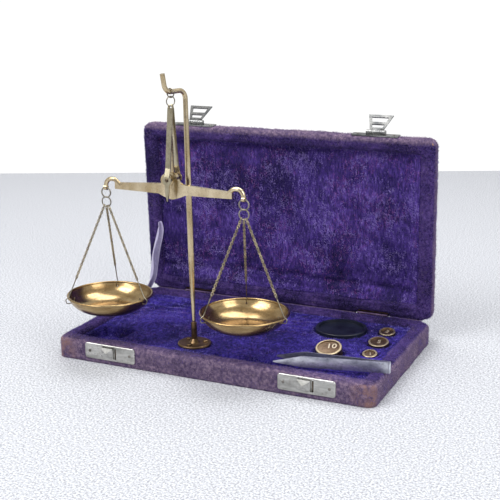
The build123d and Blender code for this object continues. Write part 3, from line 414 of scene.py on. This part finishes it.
def sunk_face(node):
    """The plane of a weight's sunk top face: its direction, and how far along that it lies in metres."""
    upward = [face for face in NODES[node].data.polygons if face.normal.z > 0.8]
    normal = max(upward, key=lambda face: face.area).normal
    return normal, min(face.center.dot(normal) for face in upward)


# Each weight's raised rim above its sunk face gets a painted highlight over rubbed brass.
for name in WEIGHTS:
    MATERIALS[name] = metal(f"{name}_brass", (96, 76, 62), (150, 128, 104), (0.3, 0.48), (120, 120, 120),
                            (58, 38, 28), 0.6, sunk_face(name))
    paint(name, name)
paint("black", "specimen_dish")
paint("steel", "tweezer_blade_front", "tweezer_blade_back")


# ---------------------------------------------------------------- velvet covers
HALF_WIDTH, HALF_DEPTH, BASE_HEIGHT = node_box("base_velvet_cover")[1]
LID_TOP_EDGE = node_box("lid_velvet_cover")[1][2]
LINING_LOW, LINING_HIGH = node_box("base_lining")
RIM_WIDTH = HALF_WIDTH - LINING_HIGH[0]
FLOOR_Z = LINING_HIGH[2]
HARDWARE = [
    node_box(name)
    for name in ["hinge_leaves_base", "hinge_leaves_lid"]
    + [f"{part}_{side}" for part in ("catch_plate", "hasp_bracket") for side in SIDES]
]


def loop_points(offset):
    """A rounded rectangle this far inside the case's outline, the same number of points each time."""
    half_w, half_d = HALF_WIDTH - offset, HALF_DEPTH - offset
    radius = CORNER_RADIUS + (INNER_CORNER_RADIUS - CORNER_RADIUS) * offset / RIM_WIDTH
    radius = min(max(radius, SMALLEST_CORNER), half_d - 0.8 * HALF_SEAM)
    counts = (round(2 * HALF_WIDTH / PATH_STEP), round(2 * HALF_DEPTH / PATH_STEP))
    corners = [(1, -1), (1, 1), (-1, 1), (-1, -1)]
    points = []
    for i, (sx, sy) in enumerate(corners):
        centre = np.array([sx * (half_w - radius), sy * (half_d - radius)])
        start = math.radians(-90 + 90 * i)
        for step in range(ARC_STEPS + 1):
            angle = start + math.pi / 2 * step / ARC_STEPS
            points.append(centre + radius * np.array([math.cos(angle), math.sin(angle)]))
        nx, ny = corners[(i + 1) % 4]
        after = np.array([nx * (half_w - radius), ny * (half_d - radius)])
        turn = start + math.pi / 2
        after = after + radius * np.array([math.cos(turn), math.sin(turn)])
        count = counts[(i + 1) % 2]
        last = points[-1]
        points += [last + (after - last) * k / count for k in range(1, count)]
    return np.array(points)


def arc(centre, radius, start, end):
    """Profile points (offset, height) round a quarter turn."""
    steps = ARC_STEPS + 1
    angles = [math.radians(start + (end - start) * k / steps) for k in range(steps + 1)]
    return [(centre[0] + radius * math.cos(a), centre[1] + radius * math.sin(a)) for a in angles]


def run(first, last, step=1.0):
    """Profile points between two places, without the two ends."""
    first, last = np.array(first, float), np.array(last, float)
    count = max(2, round(np.linalg.norm(last - first) / step))
    return [tuple(first + (last - first) * k / count) for k in range(1, count)]


def swept(profile):
    """Points of the skin: a profile of (offset, height) carried round the case."""
    loops = [(loop_points(offset), height) for offset, height in profile]
    return np.vstack([np.column_stack([loop, np.full(len(loop), height)]) for loop, height in loops])


def clear_of_hardware(points):
    """0 under a metal plate, 1 from a millimetre off it."""
    free = np.ones(len(points))
    for low, high in HARDWARE:
        outside = np.maximum(low - PLATE_MARGIN - points, points - high - PLATE_MARGIN)
        outside = np.maximum(outside, 0).max(axis=1)
        free = np.minimum(free, smoothstep(0.0, 1.0, outside))
    return free


def mesh_normals(points, faces):
    """The smooth normal at each point."""
    mesh = bpy.data.meshes.new("normals")
    mesh.from_pydata(points.tolist(), [], faces)
    normals = np.array([v.normal for v in mesh.vertices])
    bpy.data.meshes.remove(mesh)
    return normals


def filled_hinge_line(points, side):
    """Draws the cloth out to the hinge line, where the base (side -1) and the lid (side +1) meet."""
    squareness = 24
    y = points[:, 1] - HINGE[1] + EDGE_RADIUS
    z = EDGE_RADIUS - side * (points[:, 2] - HINGE[2])
    at_edge = (y > 0) & (z > 0) & (np.abs(points[:, 0]) < HALF_WIDTH - CORNER_RADIUS)
    y, z = np.where(at_edge, y, 1), np.where(at_edge, z, 1)
    grow = np.hypot(y, z) / (y ** squareness + z ** squareness) ** (1 / squareness)
    moved = points.copy()
    moved[:, 1] = np.where(at_edge, HINGE[1] - EDGE_RADIUS + y * grow, points[:, 1])
    moved[:, 2] = np.where(at_edge, HINGE[2] + side * (EDGE_RADIUS - z * grow), points[:, 2])
    if side < 0:
        moved[:, 1] += HINGE_TONGUE * tongue_share(moved)
    return moved


def tongue_share(points):
    """1 on the base's top back edge, where its cloth reaches under the open lid, and 0 at the hinges."""
    share = smoothstep(HINGE[1] - EDGE_RADIUS, HINGE[1], points[:, 1])
    share *= smoothstep(HINGE[2] - EDGE_RADIUS, HINGE[2] - 0.4, points[:, 2])
    share *= smoothstep(HALF_WIDTH - CORNER_RADIUS, HALF_WIDTH - CORNER_RADIUS - 4, np.abs(points[:, 0]))
    for low, high in knuckle_spans():
        outside = np.maximum(low - points[:, 0], points[:, 0] - high)
        share *= smoothstep(0.3, 2.0, outside)
    return share


def cover(name, body, profile, transform, wear_of, replaced, side):
    """A velvet skin with holes where the catches and hinges go through."""
    closed_points = filled_hinge_line(swept(profile), side)
    columns = len(loop_points(0))
    faces = grid_faces(len(profile), columns, closed=True)
    points = transform(closed_points)
    normals = mesh_normals(points, faces)
    lumps = 0.22 * noise_at(points, 2.2) + 0.3 * noise_at(points, 16.0, 2)
    free = clear_of_hardware(points) * smoothstep(0.5, 3.5, np.linalg.norm(points[:, 1:] - HINGE[1:], axis=1))
    lift = np.clip(free * (lumps + wave_folds(points)), -DEEPEST_DIP, 2.0)
    points = points + normals * lift[:, None]
    points[:, 2] = np.maximum(points[:, 2], LOWEST_CLOTH)
    centres = points[np.array(faces)].mean(axis=1)
    holes = np.zeros(len(faces), bool)
    for low, high in catch_holes():
        holes |= ((centres > low) & (centres < high)).all(axis=1)
    for low, high in knuckle_spans():
        off_axis = np.linalg.norm(centres[:, 1:] - HINGE[1:], axis=1)
        holes |= (off_axis < KNUCKLE_HOLE) & (centres[:, 0] > low) & (centres[:, 0] < high)
    faces = [f for f, hole in zip(faces, holes) if not hole]
    obj = new_mesh(name, points, faces, MATERIALS["velvet_cover"])
    weld(obj)
    wear, corner = wear_of(np.array([v.co for v in obj.data.vertices]) / MM)
    for key, values in (("wear", wear), ("corner", corner)):
        obj.data.attributes.new(key, "FLOAT", "POINT").data.foreach_set("value", values)
    solid = obj.modifiers.new("cloth", "SOLIDIFY")
    solid.thickness = SKIN * MM
    solid.offset = -1
    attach(obj, body)
    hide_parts(replaced)
    return obj


def weld(obj):
    """Joins points that meet, and drops the points that no face uses."""
    work = bmesh.new()
    work.from_mesh(obj.data)
    bmesh.ops.remove_doubles(work, verts=work.verts, dist=WELD_DISTANCE * MM)
    bmesh.ops.delete(work, geom=[v for v in work.verts if not v.link_faces], context="VERTS")
    work.to_mesh(obj.data)
    work.free()


def catch_holes():
    """Boxes in the front wall that the buttons and their springs need."""
    boxes = []
    for side in SIDES:
        button_low, button_high = node_box(f"catch_button_{side}")
        spring_high = node_box(f"catch_spring_{side}")[1]
        plate_low = node_box(f"catch_plate_{side}")[0]
        low = np.array([button_low[0] - 0.6, plate_low[1], button_low[2] - 0.4])
        high = np.array([spring_high[0] + 0.3, button_high[1] + 2.0, button_high[2] + 0.4])
        boxes.append((low, high))
    return boxes


def knuckle_spans():
    """The stretches of the hinge line that the knuckles fill."""
    low, high = node_box("hinge_pins")
    return [(low[0] - 0.4, low[0] + HINGE_SPAN), (high[0] - HINGE_SPAN, high[0] + 0.4)]


def wave_folds(points):
    """Slack folds of the cloth along the back of the base and the foot of the lid."""
    across = points[:, 1] - HINGE[1] - (points[:, 2] - HINGE[2])
    near = np.exp(-(((points[:, 1] - HINGE[1] + 4) / 9) ** 2) - (((points[:, 2] - HINGE[2] - 2) / 9) ** 2))
    inside = np.abs(points[:, 0]) < HALF_WIDTH - RIM_WIDTH - 2
    warp = 3.0 * noise_at(points, 28.0, 2)
    return np.where(inside, 0.6 * near * np.sin(across * 1.1 + warp), 0)


def base_wear(points):
    """How threadbare the base's cover is, and how brown its front corners, both from 0 to 1."""
    outer = smoothstep(2.0, 0.2, inside_outline(points))
    top = smoothstep(BASE_HEIGHT - 3, BASE_HEIGHT - 0.5, points[:, 2])
    from_side, from_front = HALF_WIDTH - np.abs(points[:, 0]), HALF_DEPTH + points[:, 1]
    wear = np.clip(0.75 * outer + 0.4 * top * smoothstep(12, 3, from_front) + 0.1 * top, 0, 1)
    return wear, outer * smoothstep(17, 4, from_side) * smoothstep(8, 1, from_front)


def inside_outline(points):
    """How far points lie inside the case's rounded outline."""
    to_corner = np.abs(points[:, :2]) - np.array([HALF_WIDTH, HALF_DEPTH]) + CORNER_RADIUS
    return CORNER_RADIUS - np.linalg.norm(np.maximum(to_corner, 0), axis=1)


def lid_wear(points):
    """The same for the lid: worn most along its top edge."""
    top_edge = smoothstep(LID_TOP_EDGE - 6, LID_TOP_EDGE - 1, points[:, 2])
    outer = smoothstep(1.2, -0.3, HALF_WIDTH - np.abs(points[:, 0]))
    back = smoothstep(HINGE[1] + 2, HINGE[1] + 6, points[:, 1])
    wear = np.clip(0.95 * top_edge + 0.6 * outer + 0.45 * back, 0, 1)
    return wear, np.zeros(len(points))


def base_profile():
    """Up the outer wall, over the rim and down into the lining."""
    r, rim, high = EDGE_RADIUS, RIM_WIDTH, BASE_HEIGHT
    foot, end = (0, 0.1), (rim, FLOOR_Z - 1.5)
    return (
        [foot] + run(foot, (0, high - r)) + arc((r, high - r), r, 180, 90)
        + run((r, high), (rim - r, high)) + arc((rim - r, high - r), r, 90, 0)
        + run((rim, high - r), end) + [end]
    )


def lid_profile():
    """Out of the lining, over the rim, up the outer wall and across the lid's back to its middle."""
    r, rim, low, high = EDGE_RADIUS, RIM_WIDTH, BASE_HEIGHT, BASE_HEIGHT + LID_HEIGHT
    start, end = (rim, high - 2.6), (HALF_DEPTH - HALF_SEAM, high)
    return (
        [start] + run(start, (rim, low + r)) + arc((rim - r, low + r), r, 0, -90)
        + run((rim - r, low), (r, low)) + arc((r, low + r), r, -90, -180)
        + run((0, low + r), (0, high - r)) + arc((r, high - r), r, 180, 90)
        + run((r, high), end, 1.8) + [end]
    )


base_cover = cover(
    "base_velvet", "case_base", base_profile(), lambda points: points, base_wear, "base_velvet_cover", -1
)
lid_cover = cover("lid_velvet", "lid", lid_profile(), opened, lid_wear, "lid_velvet_cover", 1)


# ---------------------------------------------------------------- velvet linings
DISCS = [*WEIGHTS, "specimen_dish"]


def lining_grid():
    """A lining's rows, columns and points, reaching a little way under the rims' cloth."""
    half_w, half_d = LINING_HIGH[:2] + LINING_TUCK
    xs = np.arange(-half_w, half_w + LINING_STEP / 2, LINING_STEP)
    ys = np.arange(-half_d, half_d + LINING_STEP / 2, LINING_STEP)
    grid_x, grid_y = np.meshgrid(xs, ys)
    return len(ys), len(xs), grid_x.ravel(), grid_y.ravel()


def slab(name, rows, columns, top, bottom, material):
    """A closed pad: a height-field face, a far face and four edges."""
    count = rows * columns
    faces = [tuple(f) for f in grid_faces(rows, columns)]
    faces += [tuple(i + count for i in reversed(f)) for f in grid_faces(rows, columns)]
    rim = (
        [(0, c) for c in range(columns)] + [(r, columns - 1) for r in range(1, rows)]
        + [(rows - 1, c) for c in range(columns - 2, -1, -1)] + [(r, 0) for r in range(rows - 2, 0, -1)]
    )
    order = [r * columns + c for r, c in rim]
    for a, b in zip(order, order[1:] + order[:1]):
        faces.append((b, a, a + count, b + count))
    return new_mesh(name, np.vstack([top, bottom]), faces, material)


def pocket_depth(x, y, depth):
    """Lowers the floor under the discs and in the two long pockets."""
    for name in DISCS:
        low, high = node_box(name)
        centre, radius = (low + high) / 2, (high[0] - low[0]) / 2
        distance = np.hypot(x - centre[0], (y - centre[1]) * 0.97) - radius
        depth = np.minimum(depth, low[2] - 0.3 + (FLOOR_Z - low[2] + 0.3) * smoothstep(0.5, 1.9, distance))
    for name in ("front_trough", "finger_pocket"):
        (x0, y0, z0), (x1, y1, _) = mm(OPENINGS[name][0]), mm(OPENINGS[name][1])
        dx = np.maximum(x0 - x, x - x1)
        dy = np.maximum(y0 - y, y - y1)
        distance = np.hypot(np.maximum(dx, 0), np.maximum(dy, 0)) + np.minimum(np.maximum(dx, dy), 0)
        depth = np.minimum(depth, z0 - 0.1 + (FLOOR_Z - z0 + 0.1) * smoothstep(-0.6, 2.2, distance))
    return depth


def base_floor():
    rows, columns, x, y = lining_grid()
    flat = np.column_stack([x, y, np.zeros(len(x))])
    loose = 0.55 * noise_at(flat, 9.0) + 0.25 * noise_at(flat, 2.4)
    folds = smoothstep(8, 30, y) * 0.8 * np.sin(y * 0.8 + 3.2 * noise_at(flat, 30.0, 2))
    edge = np.minimum(LINING_HIGH[0] - np.abs(x), LINING_HIGH[1] - np.abs(y))
    folds += 2.0 * smoothstep(6.0, 0.0, edge)
    flange_low, flange_high = node_box("post_socket")
    centre, radius = (flange_low + flange_high) / 2, (flange_high[0] - flange_low[0]) / 2
    away = smoothstep(-1.0, 2.5, np.hypot(x - centre[0], y - centre[1]) - radius)
    z = FLOOR_Z - 0.35 + away * (loose + folds)
    z = pocket_depth(x, y, z)
    top = np.column_stack([x, y, z])
    bottom = np.column_stack([x, y, np.full(len(x), LINING_LOW[2] + 0.05)])
    obj = slab("base_floor_velvet", rows, columns, top, bottom, MATERIALS["velvet_floor"])
    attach(obj, "case_base")
    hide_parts("base_lining")
    return obj


def lid_inside():
    rows, columns, x, y = lining_grid()
    flat = np.column_stack([x, y, np.zeros(len(x))])
    edge = np.minimum(LINING_HIGH[0] - np.abs(x), LINING_HIGH[1] - np.abs(y))
    soft_edge = np.minimum(LINING_HIGH[0] - x, LINING_HIGH[1] - y)
    crown = 0.9 * smoothstep(0, 22, edge) + 1.2 * smoothstep(4.0, 0, edge)
    crown += 3.0 * smoothstep(9.0, 0, soft_edge)
    loose = 0.4 * noise_at(flat + 40, 20.0, 2) + 0.16 * noise_at(flat, 2.4)
    folds = smoothstep(26, 44, y) * 0.55 * np.sin(y * 0.9 + 3.4 * noise_at(flat + 9, 34.0, 2))
    pad_face = BASE_HEIGHT + LID_HEIGHT - PAD_THICKNESS
    z = pad_face - (crown + loose + folds)
    top = opened(np.column_stack([x, y, z]))
    bottom = opened(np.column_stack([x, y, np.full(len(x), pad_face + 0.95)]))
    obj = slab("lid_inside_velvet", rows, columns, top, bottom, MATERIALS["velvet_inner"])
    obj.data.flip_normals()
    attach(obj, "lid")
    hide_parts("lid_lining")
    return obj


floor_velvet = base_floor()
inside_velvet = lid_inside()


# ---------------------------------------------------------------- pile
def pile(name, cloth, body, palette, length, comb, spread, tones_of, faces_kept, seed):
    """Small closed tufts standing on a cloth, combed one way, in a few tones."""
    random = np.random.default_rng(SEED + seed)
    mesh = cloth.data
    mesh.calc_loop_triangles()
    corners = np.zeros(len(mesh.loop_triangles) * 3, int)
    mesh.loop_triangles.foreach_get("vertices", corners)
    co = np.array([v.co for v in mesh.vertices]) / MM
    a, b, c = (co[corners.reshape(-1, 3)[:, k]] for k in range(3))
    cross = np.cross(b - a, c - a)
    area = np.linalg.norm(cross, axis=1) / 2
    normal = cross / np.maximum(2 * area, 1e-9)[:, None]
    wanted = area * faces_kept((a + b + c) / 3, normal)
    count = int(wanted.sum() * PILE_PER_MM2)
    chosen = random.choice(len(area), count, p=wanted / wanted.sum())
    u, v = random.random(count), random.random(count)
    over = u + v > 1
    u, v = np.where(over, 1 - u, u)[:, None], np.where(over, 1 - v, v)[:, None]
    root = a[chosen] + (b - a)[chosen] * u + (c - a)[chosen] * v
    n = normal[chosen]
    lay = np.array(comb) - n * (n @ np.array(comb))[:, None]
    swirl = np.column_stack([
        sum(size * noise_at(root + apart * k, scale, 2) for size, scale, apart in SWIRLS) for k in range(3)
    ])
    direction = STAND * n + lay + swirl + spread * random.normal(size=(count, 3))
    direction /= np.linalg.norm(direction, axis=1)[:, None]
    direction += n * np.maximum(LEAST_RISE - (direction * n).sum(axis=1), 0)[:, None]
    long = length * (0.6 + 0.8 * random.random(count))[:, None]
    side = np.cross(n, random.normal(size=(count, 3)))
    side /= np.linalg.norm(side, axis=1)[:, None]
    other = np.cross(n, side)
    foot = root - n * ROOT_DEPTH
    ring = [foot + TUFT_RADIUS * (side * math.cos(t) + other * math.sin(t)) for t in (0, 2.094, 4.189)]
    points = np.stack(ring + [root + direction * long], axis=1).reshape(-1, 3)
    points[:, 2] = np.maximum(points[:, 2], LOWEST_TUFT)
    first = np.arange(count)[:, None, None] * 4
    faces = (first + np.array([[0, 1, 3], [1, 2, 3], [2, 0, 3], [0, 2, 1]])).reshape(-1, 3)
    mesh = bpy.data.meshes.new(name)
    mesh.vertices.add(len(points))
    mesh.vertices.foreach_set("co", (points * MM).ravel())
    mesh.loops.add(faces.size)
    mesh.loops.foreach_set("vertex_index", faces.ravel())
    mesh.polygons.add(len(faces))
    mesh.polygons.foreach_set("loop_start", np.arange(len(faces)) * 3)
    tone = np.clip(tones_of(root, random.random(count)), 0, len(palette) - 1).astype(int)
    mesh.polygons.foreach_set("material_index", np.repeat(tone, 4))
    mesh.polygons.foreach_set("use_smooth", np.ones(len(faces), bool))
    mesh.update(calc_edges=True)
    mesh.validate()
    for k, colour in enumerate(palette):
        mesh.materials.append(plain_fibre(f"{name}_{k}", colour))
    obj = bpy.data.objects.new(name, mesh)
    bpy.context.scene.collection.objects.link(obj)
    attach(obj, body)


def patchy(stretch):
    """Tones 0 to 3 in streaks along the nap and in patches; 4 and 5 are tones 1 and 2 in purple."""
    def tones(points, draw):
        streaks = noise_at(points / np.array(stretch), 1.0, 2)
        patches = 0.7 * noise_at(points, 22.0, 3) + 0.5 * noise_at(points + 50, 6.0, 2)
        tone = np.floor(4 * np.clip(0.42 + 0.3 * (draw - 0.5) + 1.4 * streaks + 1.3 * patches, 0, 0.999))
        purple = (noise_at(points + 300, 30.0, 3) + 0.15 * (draw - 0.5) > 0) & (tone > 0) & (tone < 3)
        return np.where(purple, tone + 3, tone)

    return tones


def worn_tones(wear_of):
    """The same for the covers, whose threadbare edges are paler."""
    def tones(points, draw):
        wear = wear_of(points)[0]
        mottle = noise_at(points, 9.0, 2) + 0.8 * noise_at(points, 1.4, 2)
        return 3.2 * np.clip(0.4 + 0.5 * (draw - 0.5) + 0.5 * mottle, 0, 0.999) + 2.2 * wear

    return tones


def floor_face(points, normals):
    """Keeps the face that shows and leaves out the pad's far side and edges."""
    return (normals[:, 2] > 0.05).astype(float)


def lid_face(points, normals):
    """The same for the upright lining in the lid."""
    return (normals[:, 1] < -0.05).astype(float)


def cover_face(points, normals):
    """Leaves out what metal plates hide, and thins the pile on the lid's back."""
    back = (normals[:, 1] > 0.9) & (points[:, 2] > BASE_HEIGHT + 1)
    return clear_of_hardware(points) * np.where(back, 0.15, 1.0)


pile("base_floor_pile", floor_velvet, "case_base", FLOOR_FIBRES, 1.1, (0.5, -0.9, 0), 0.35,
     patchy((2.6, 1.2, 2.0)), floor_face, 1)
pile("lid_inside_pile", inside_velvet, "lid", INNER_FIBRES, 1.3, (0.1, 0, 1.0), 0.3,
     patchy((1.3, 1.3, 4.5)), lid_face, 2)
pile("base_pile", base_cover, "case_base", COVER_FIBRES, 0.75, (0.2, -0.3, -0.5), 0.55,
     worn_tones(base_wear), cover_face, 3)
pile("lid_pile", lid_cover, "lid", COVER_FIBRES, 0.95, (0.1, -0.2, 0.5), 0.55,
     worn_tones(lid_wear), cover_face, 4)


# ---------------------------------------------------------------- stay ribbon
def along_ribbon(t):
    """A point of the ribbon's middle line, a cubic curve from the lid's wall to the base's rim."""
    a, b, c, d = (np.array(p) for p in RIBBON_ROUTE)
    return a * (1 - t) ** 3 + 3 * b * t * (1 - t) ** 2 + 3 * c * t * t * (1 - t) + d * t ** 3


def added_up(slope, s):
    """The running sum of a slope along s, from 0."""
    return np.concatenate([[0], np.cumsum((slope[1:] + slope[:-1]) / 2 * np.diff(s))])


def stay_ribbon():
    """A satin strip with a lengthwise fold that is tight at both ends and opens in the middle."""
    s = np.linspace(-0.5, 0.5, RIBBON_COLUMNS) * RIBBON_WIDTH
    points = []
    for i in range(RIBBON_ROWS):
        t = i / (RIBBON_ROWS - 1)
        middle = math.sin(math.pi * t)
        fold = math.radians(80 - 18 * middle) * np.tanh(s / 0.6)
        across, deep = added_up(np.cos(fold), s), added_up(np.sin(fold), s)
        across, deep = across - across.mean(), deep - deep[RIBBON_COLUMNS // 2]
        turn = math.radians(24 + 58 * middle + 14 * math.sin(11 * t))
        width_way = np.array([math.cos(turn), math.sin(turn), 0])
        deep_way = np.array([-math.sin(turn), math.cos(turn), 0])
        centre = along_ribbon(t)
        points += [centre + width_way * w - deep_way * d * 0.9 for w, d in zip(across, deep)]
    faces = grid_faces(RIBBON_ROWS, RIBBON_COLUMNS)
    obj = new_mesh("stay_ribbon_satin", points, faces, MATERIALS["ribbon"])
    solid = obj.modifiers.new("cloth", "SOLIDIFY")
    solid.thickness = 0.15 * MM
    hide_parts("stay_ribbon")
    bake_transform(obj)


# ---------------------------------------------------------------- numerals on the weights
def numeral(text, size, turn, shift):
    """A raised number on the sunk top face of its weight."""
    node = f"weight_{text}"
    curve = bpy.data.curves.new(f"text_{text}", "FONT")
    curve.body = text
    curve.size = size * MM
    curve.extrude = 0.12 * MM
    curve.bevel_depth = 0.05 * MM
    curve.align_x, curve.align_y = "CENTER", "CENTER"
    holder = bpy.data.objects.new(f"holder_{text}", curve)
    bpy.context.scene.collection.objects.link(holder)
    bpy.context.view_layer.update()
    mesh = bpy.data.meshes.new_from_object(holder.evaluated_get(bpy.context.evaluated_depsgraph_get()))
    bpy.data.objects.remove(holder)
    low, high = node_box(node)
    normal, level = sunk_face(node)
    x, y = (low + high)[:2] / 2 + shift
    place = Vector((x, y, (level / MM - normal.x * x - normal.y * y) / normal.z + 0.05))
    upright = normal.to_track_quat("Z", "Y").to_matrix().to_4x4()
    mesh.transform(Matrix.Translation(place * MM) @ upright @ Matrix.Rotation(math.radians(turn), 4, "Z"))
    obj = bpy.data.objects.new(f"numeral_{text}", mesh)
    bpy.context.scene.collection.objects.link(obj)
    mesh.materials.clear()
    mesh.materials.append(MATERIALS["numeral"])
    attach(obj, node)


stay_ribbon()
for text, (size, turn, shift) in NUMERALS.items():
    numeral(text, size, turn, shift)


# ---------------------------------------------------------------- room, light, camera
def room():
    """A pale table with a back edge, and white behind it."""
    s = Shader("table", Roughness=0.55, Specular_IOR_Level=0.3)
    speckle = s.noise(900.0, 2.0, 0.7)
    s.wire("Base Color", s.ramp(speckle, [(0.38, (146, 148, 155)), (0.6, (214, 216, 221))]))
    azimuth = math.radians(CAMERA_AZIMUTH)
    ahead = Vector((-math.sin(azimuth), math.cos(azimuth), 0))
    across = Vector((ahead.y, -ahead.x, 0))
    eye = Vector((CAMERA_PLACE[0], CAMERA_PLACE[1], 0))
    near, far, wide = -1.5, TABLE_BACK_EDGE, 2.5
    reach = ((near, -wide), (near, wide), (far, wide), (far, -wide))
    corners = np.array([tuple(eye + ahead * d + across * w) for d, w in reach])
    table = new_mesh("table", corners / MM, [(0, 1, 2, 3)], s.material, smooth=False)


def lamp(name, place, aim, size, power):
    """A white soft box at a place, facing its aim."""
    light = bpy.data.lights.new(name, "AREA")
    light.shape = "RECTANGLE"
    light.size, light.size_y = size
    light.energy = power
    obj = bpy.data.objects.new(name, light)
    obj.location = place
    obj.rotation_euler = (Vector(aim) - Vector(place)).to_track_quat("-Z", "Y").to_euler()
    bpy.context.scene.collection.objects.link(obj)


def world():
    """White to the camera; elsewhere an even pale room with a darker band in front, which metal mirrors."""
    made = bpy.data.worlds.new("studio")
    bpy.context.scene.world = made
    made.use_nodes = True
    tree = made.node_tree
    background = tree.nodes["Background"]
    around = tree.nodes.new("ShaderNodeTexCoord")
    split = tree.nodes.new("ShaderNodeSeparateXYZ")
    tree.links.new(around.outputs["Generated"], split.inputs[0])
    room_tone = tree.nodes.new("ShaderNodeMapRange")
    tree.links.new(split.outputs["Y"], room_tone.inputs["Value"])
    sockets = ("From Min", "From Max", "To Min", "To Max")
    for socket, value in zip(sockets, (*DARK_BAND, ROOM_DARK, WORLD_LIGHT)):
        room_tone.inputs[socket].default_value = value
    path = tree.nodes.new("ShaderNodeLightPath")
    mix = tree.nodes.new("ShaderNodeMix")
    mix.data_type = "RGBA"
    tree.links.new(room_tone.outputs["Result"], mix.inputs[6])
    mix.inputs[7].default_value = (WHITE_BACK, WHITE_BACK, WHITE_BACK, 1)
    tree.links.new(path.outputs["Is Camera Ray"], mix.inputs[0])
    tree.links.new(mix.outputs[2], background.inputs["Color"])


def camera():
    """The photograph's view."""
    azimuth, elevation = math.radians(CAMERA_AZIMUTH), math.radians(CAMERA_ELEVATION)
    back = Vector((math.sin(azimuth) * math.cos(elevation), -math.cos(azimuth) * math.cos(elevation),
                   math.sin(elevation)))
    right = Vector((math.cos(azimuth), math.sin(azimuth), 0))
    up = back.cross(right)
    turn = math.radians(CAMERA_ROLL)
    x_axis = math.cos(turn) * right - math.sin(turn) * up
    y_axis = math.sin(turn) * right + math.cos(turn) * up
    data = bpy.data.cameras.new("camera")
    data.lens, data.sensor_width = CAMERA_LENS, SENSOR_WIDTH
    data.clip_start, data.clip_end = 0.01, 20
    obj = bpy.data.objects.new("camera", data)
    turned = Matrix((x_axis, y_axis, back)).transposed().to_4x4()
    obj.matrix_world = Matrix.Translation(CAMERA_PLACE) @ turned
    bpy.context.scene.collection.objects.link(obj)
    bpy.context.scene.camera = obj


room()
world()
camera()
lamp("key", (-0.5, -0.7, 0.95), (0, 0, 0.06), (0.7, 0.7), 11)
lamp("fill", (0.9, -0.35, 0.7), (0, 0, 0.05), (0.6, 0.8), 6)
lamp("top", (0.0, 0.35, 1.0), (0, 0, 0.05), (0.9, 0.5), 6)
bpy.context.scene.view_settings.view_transform = "Standard"
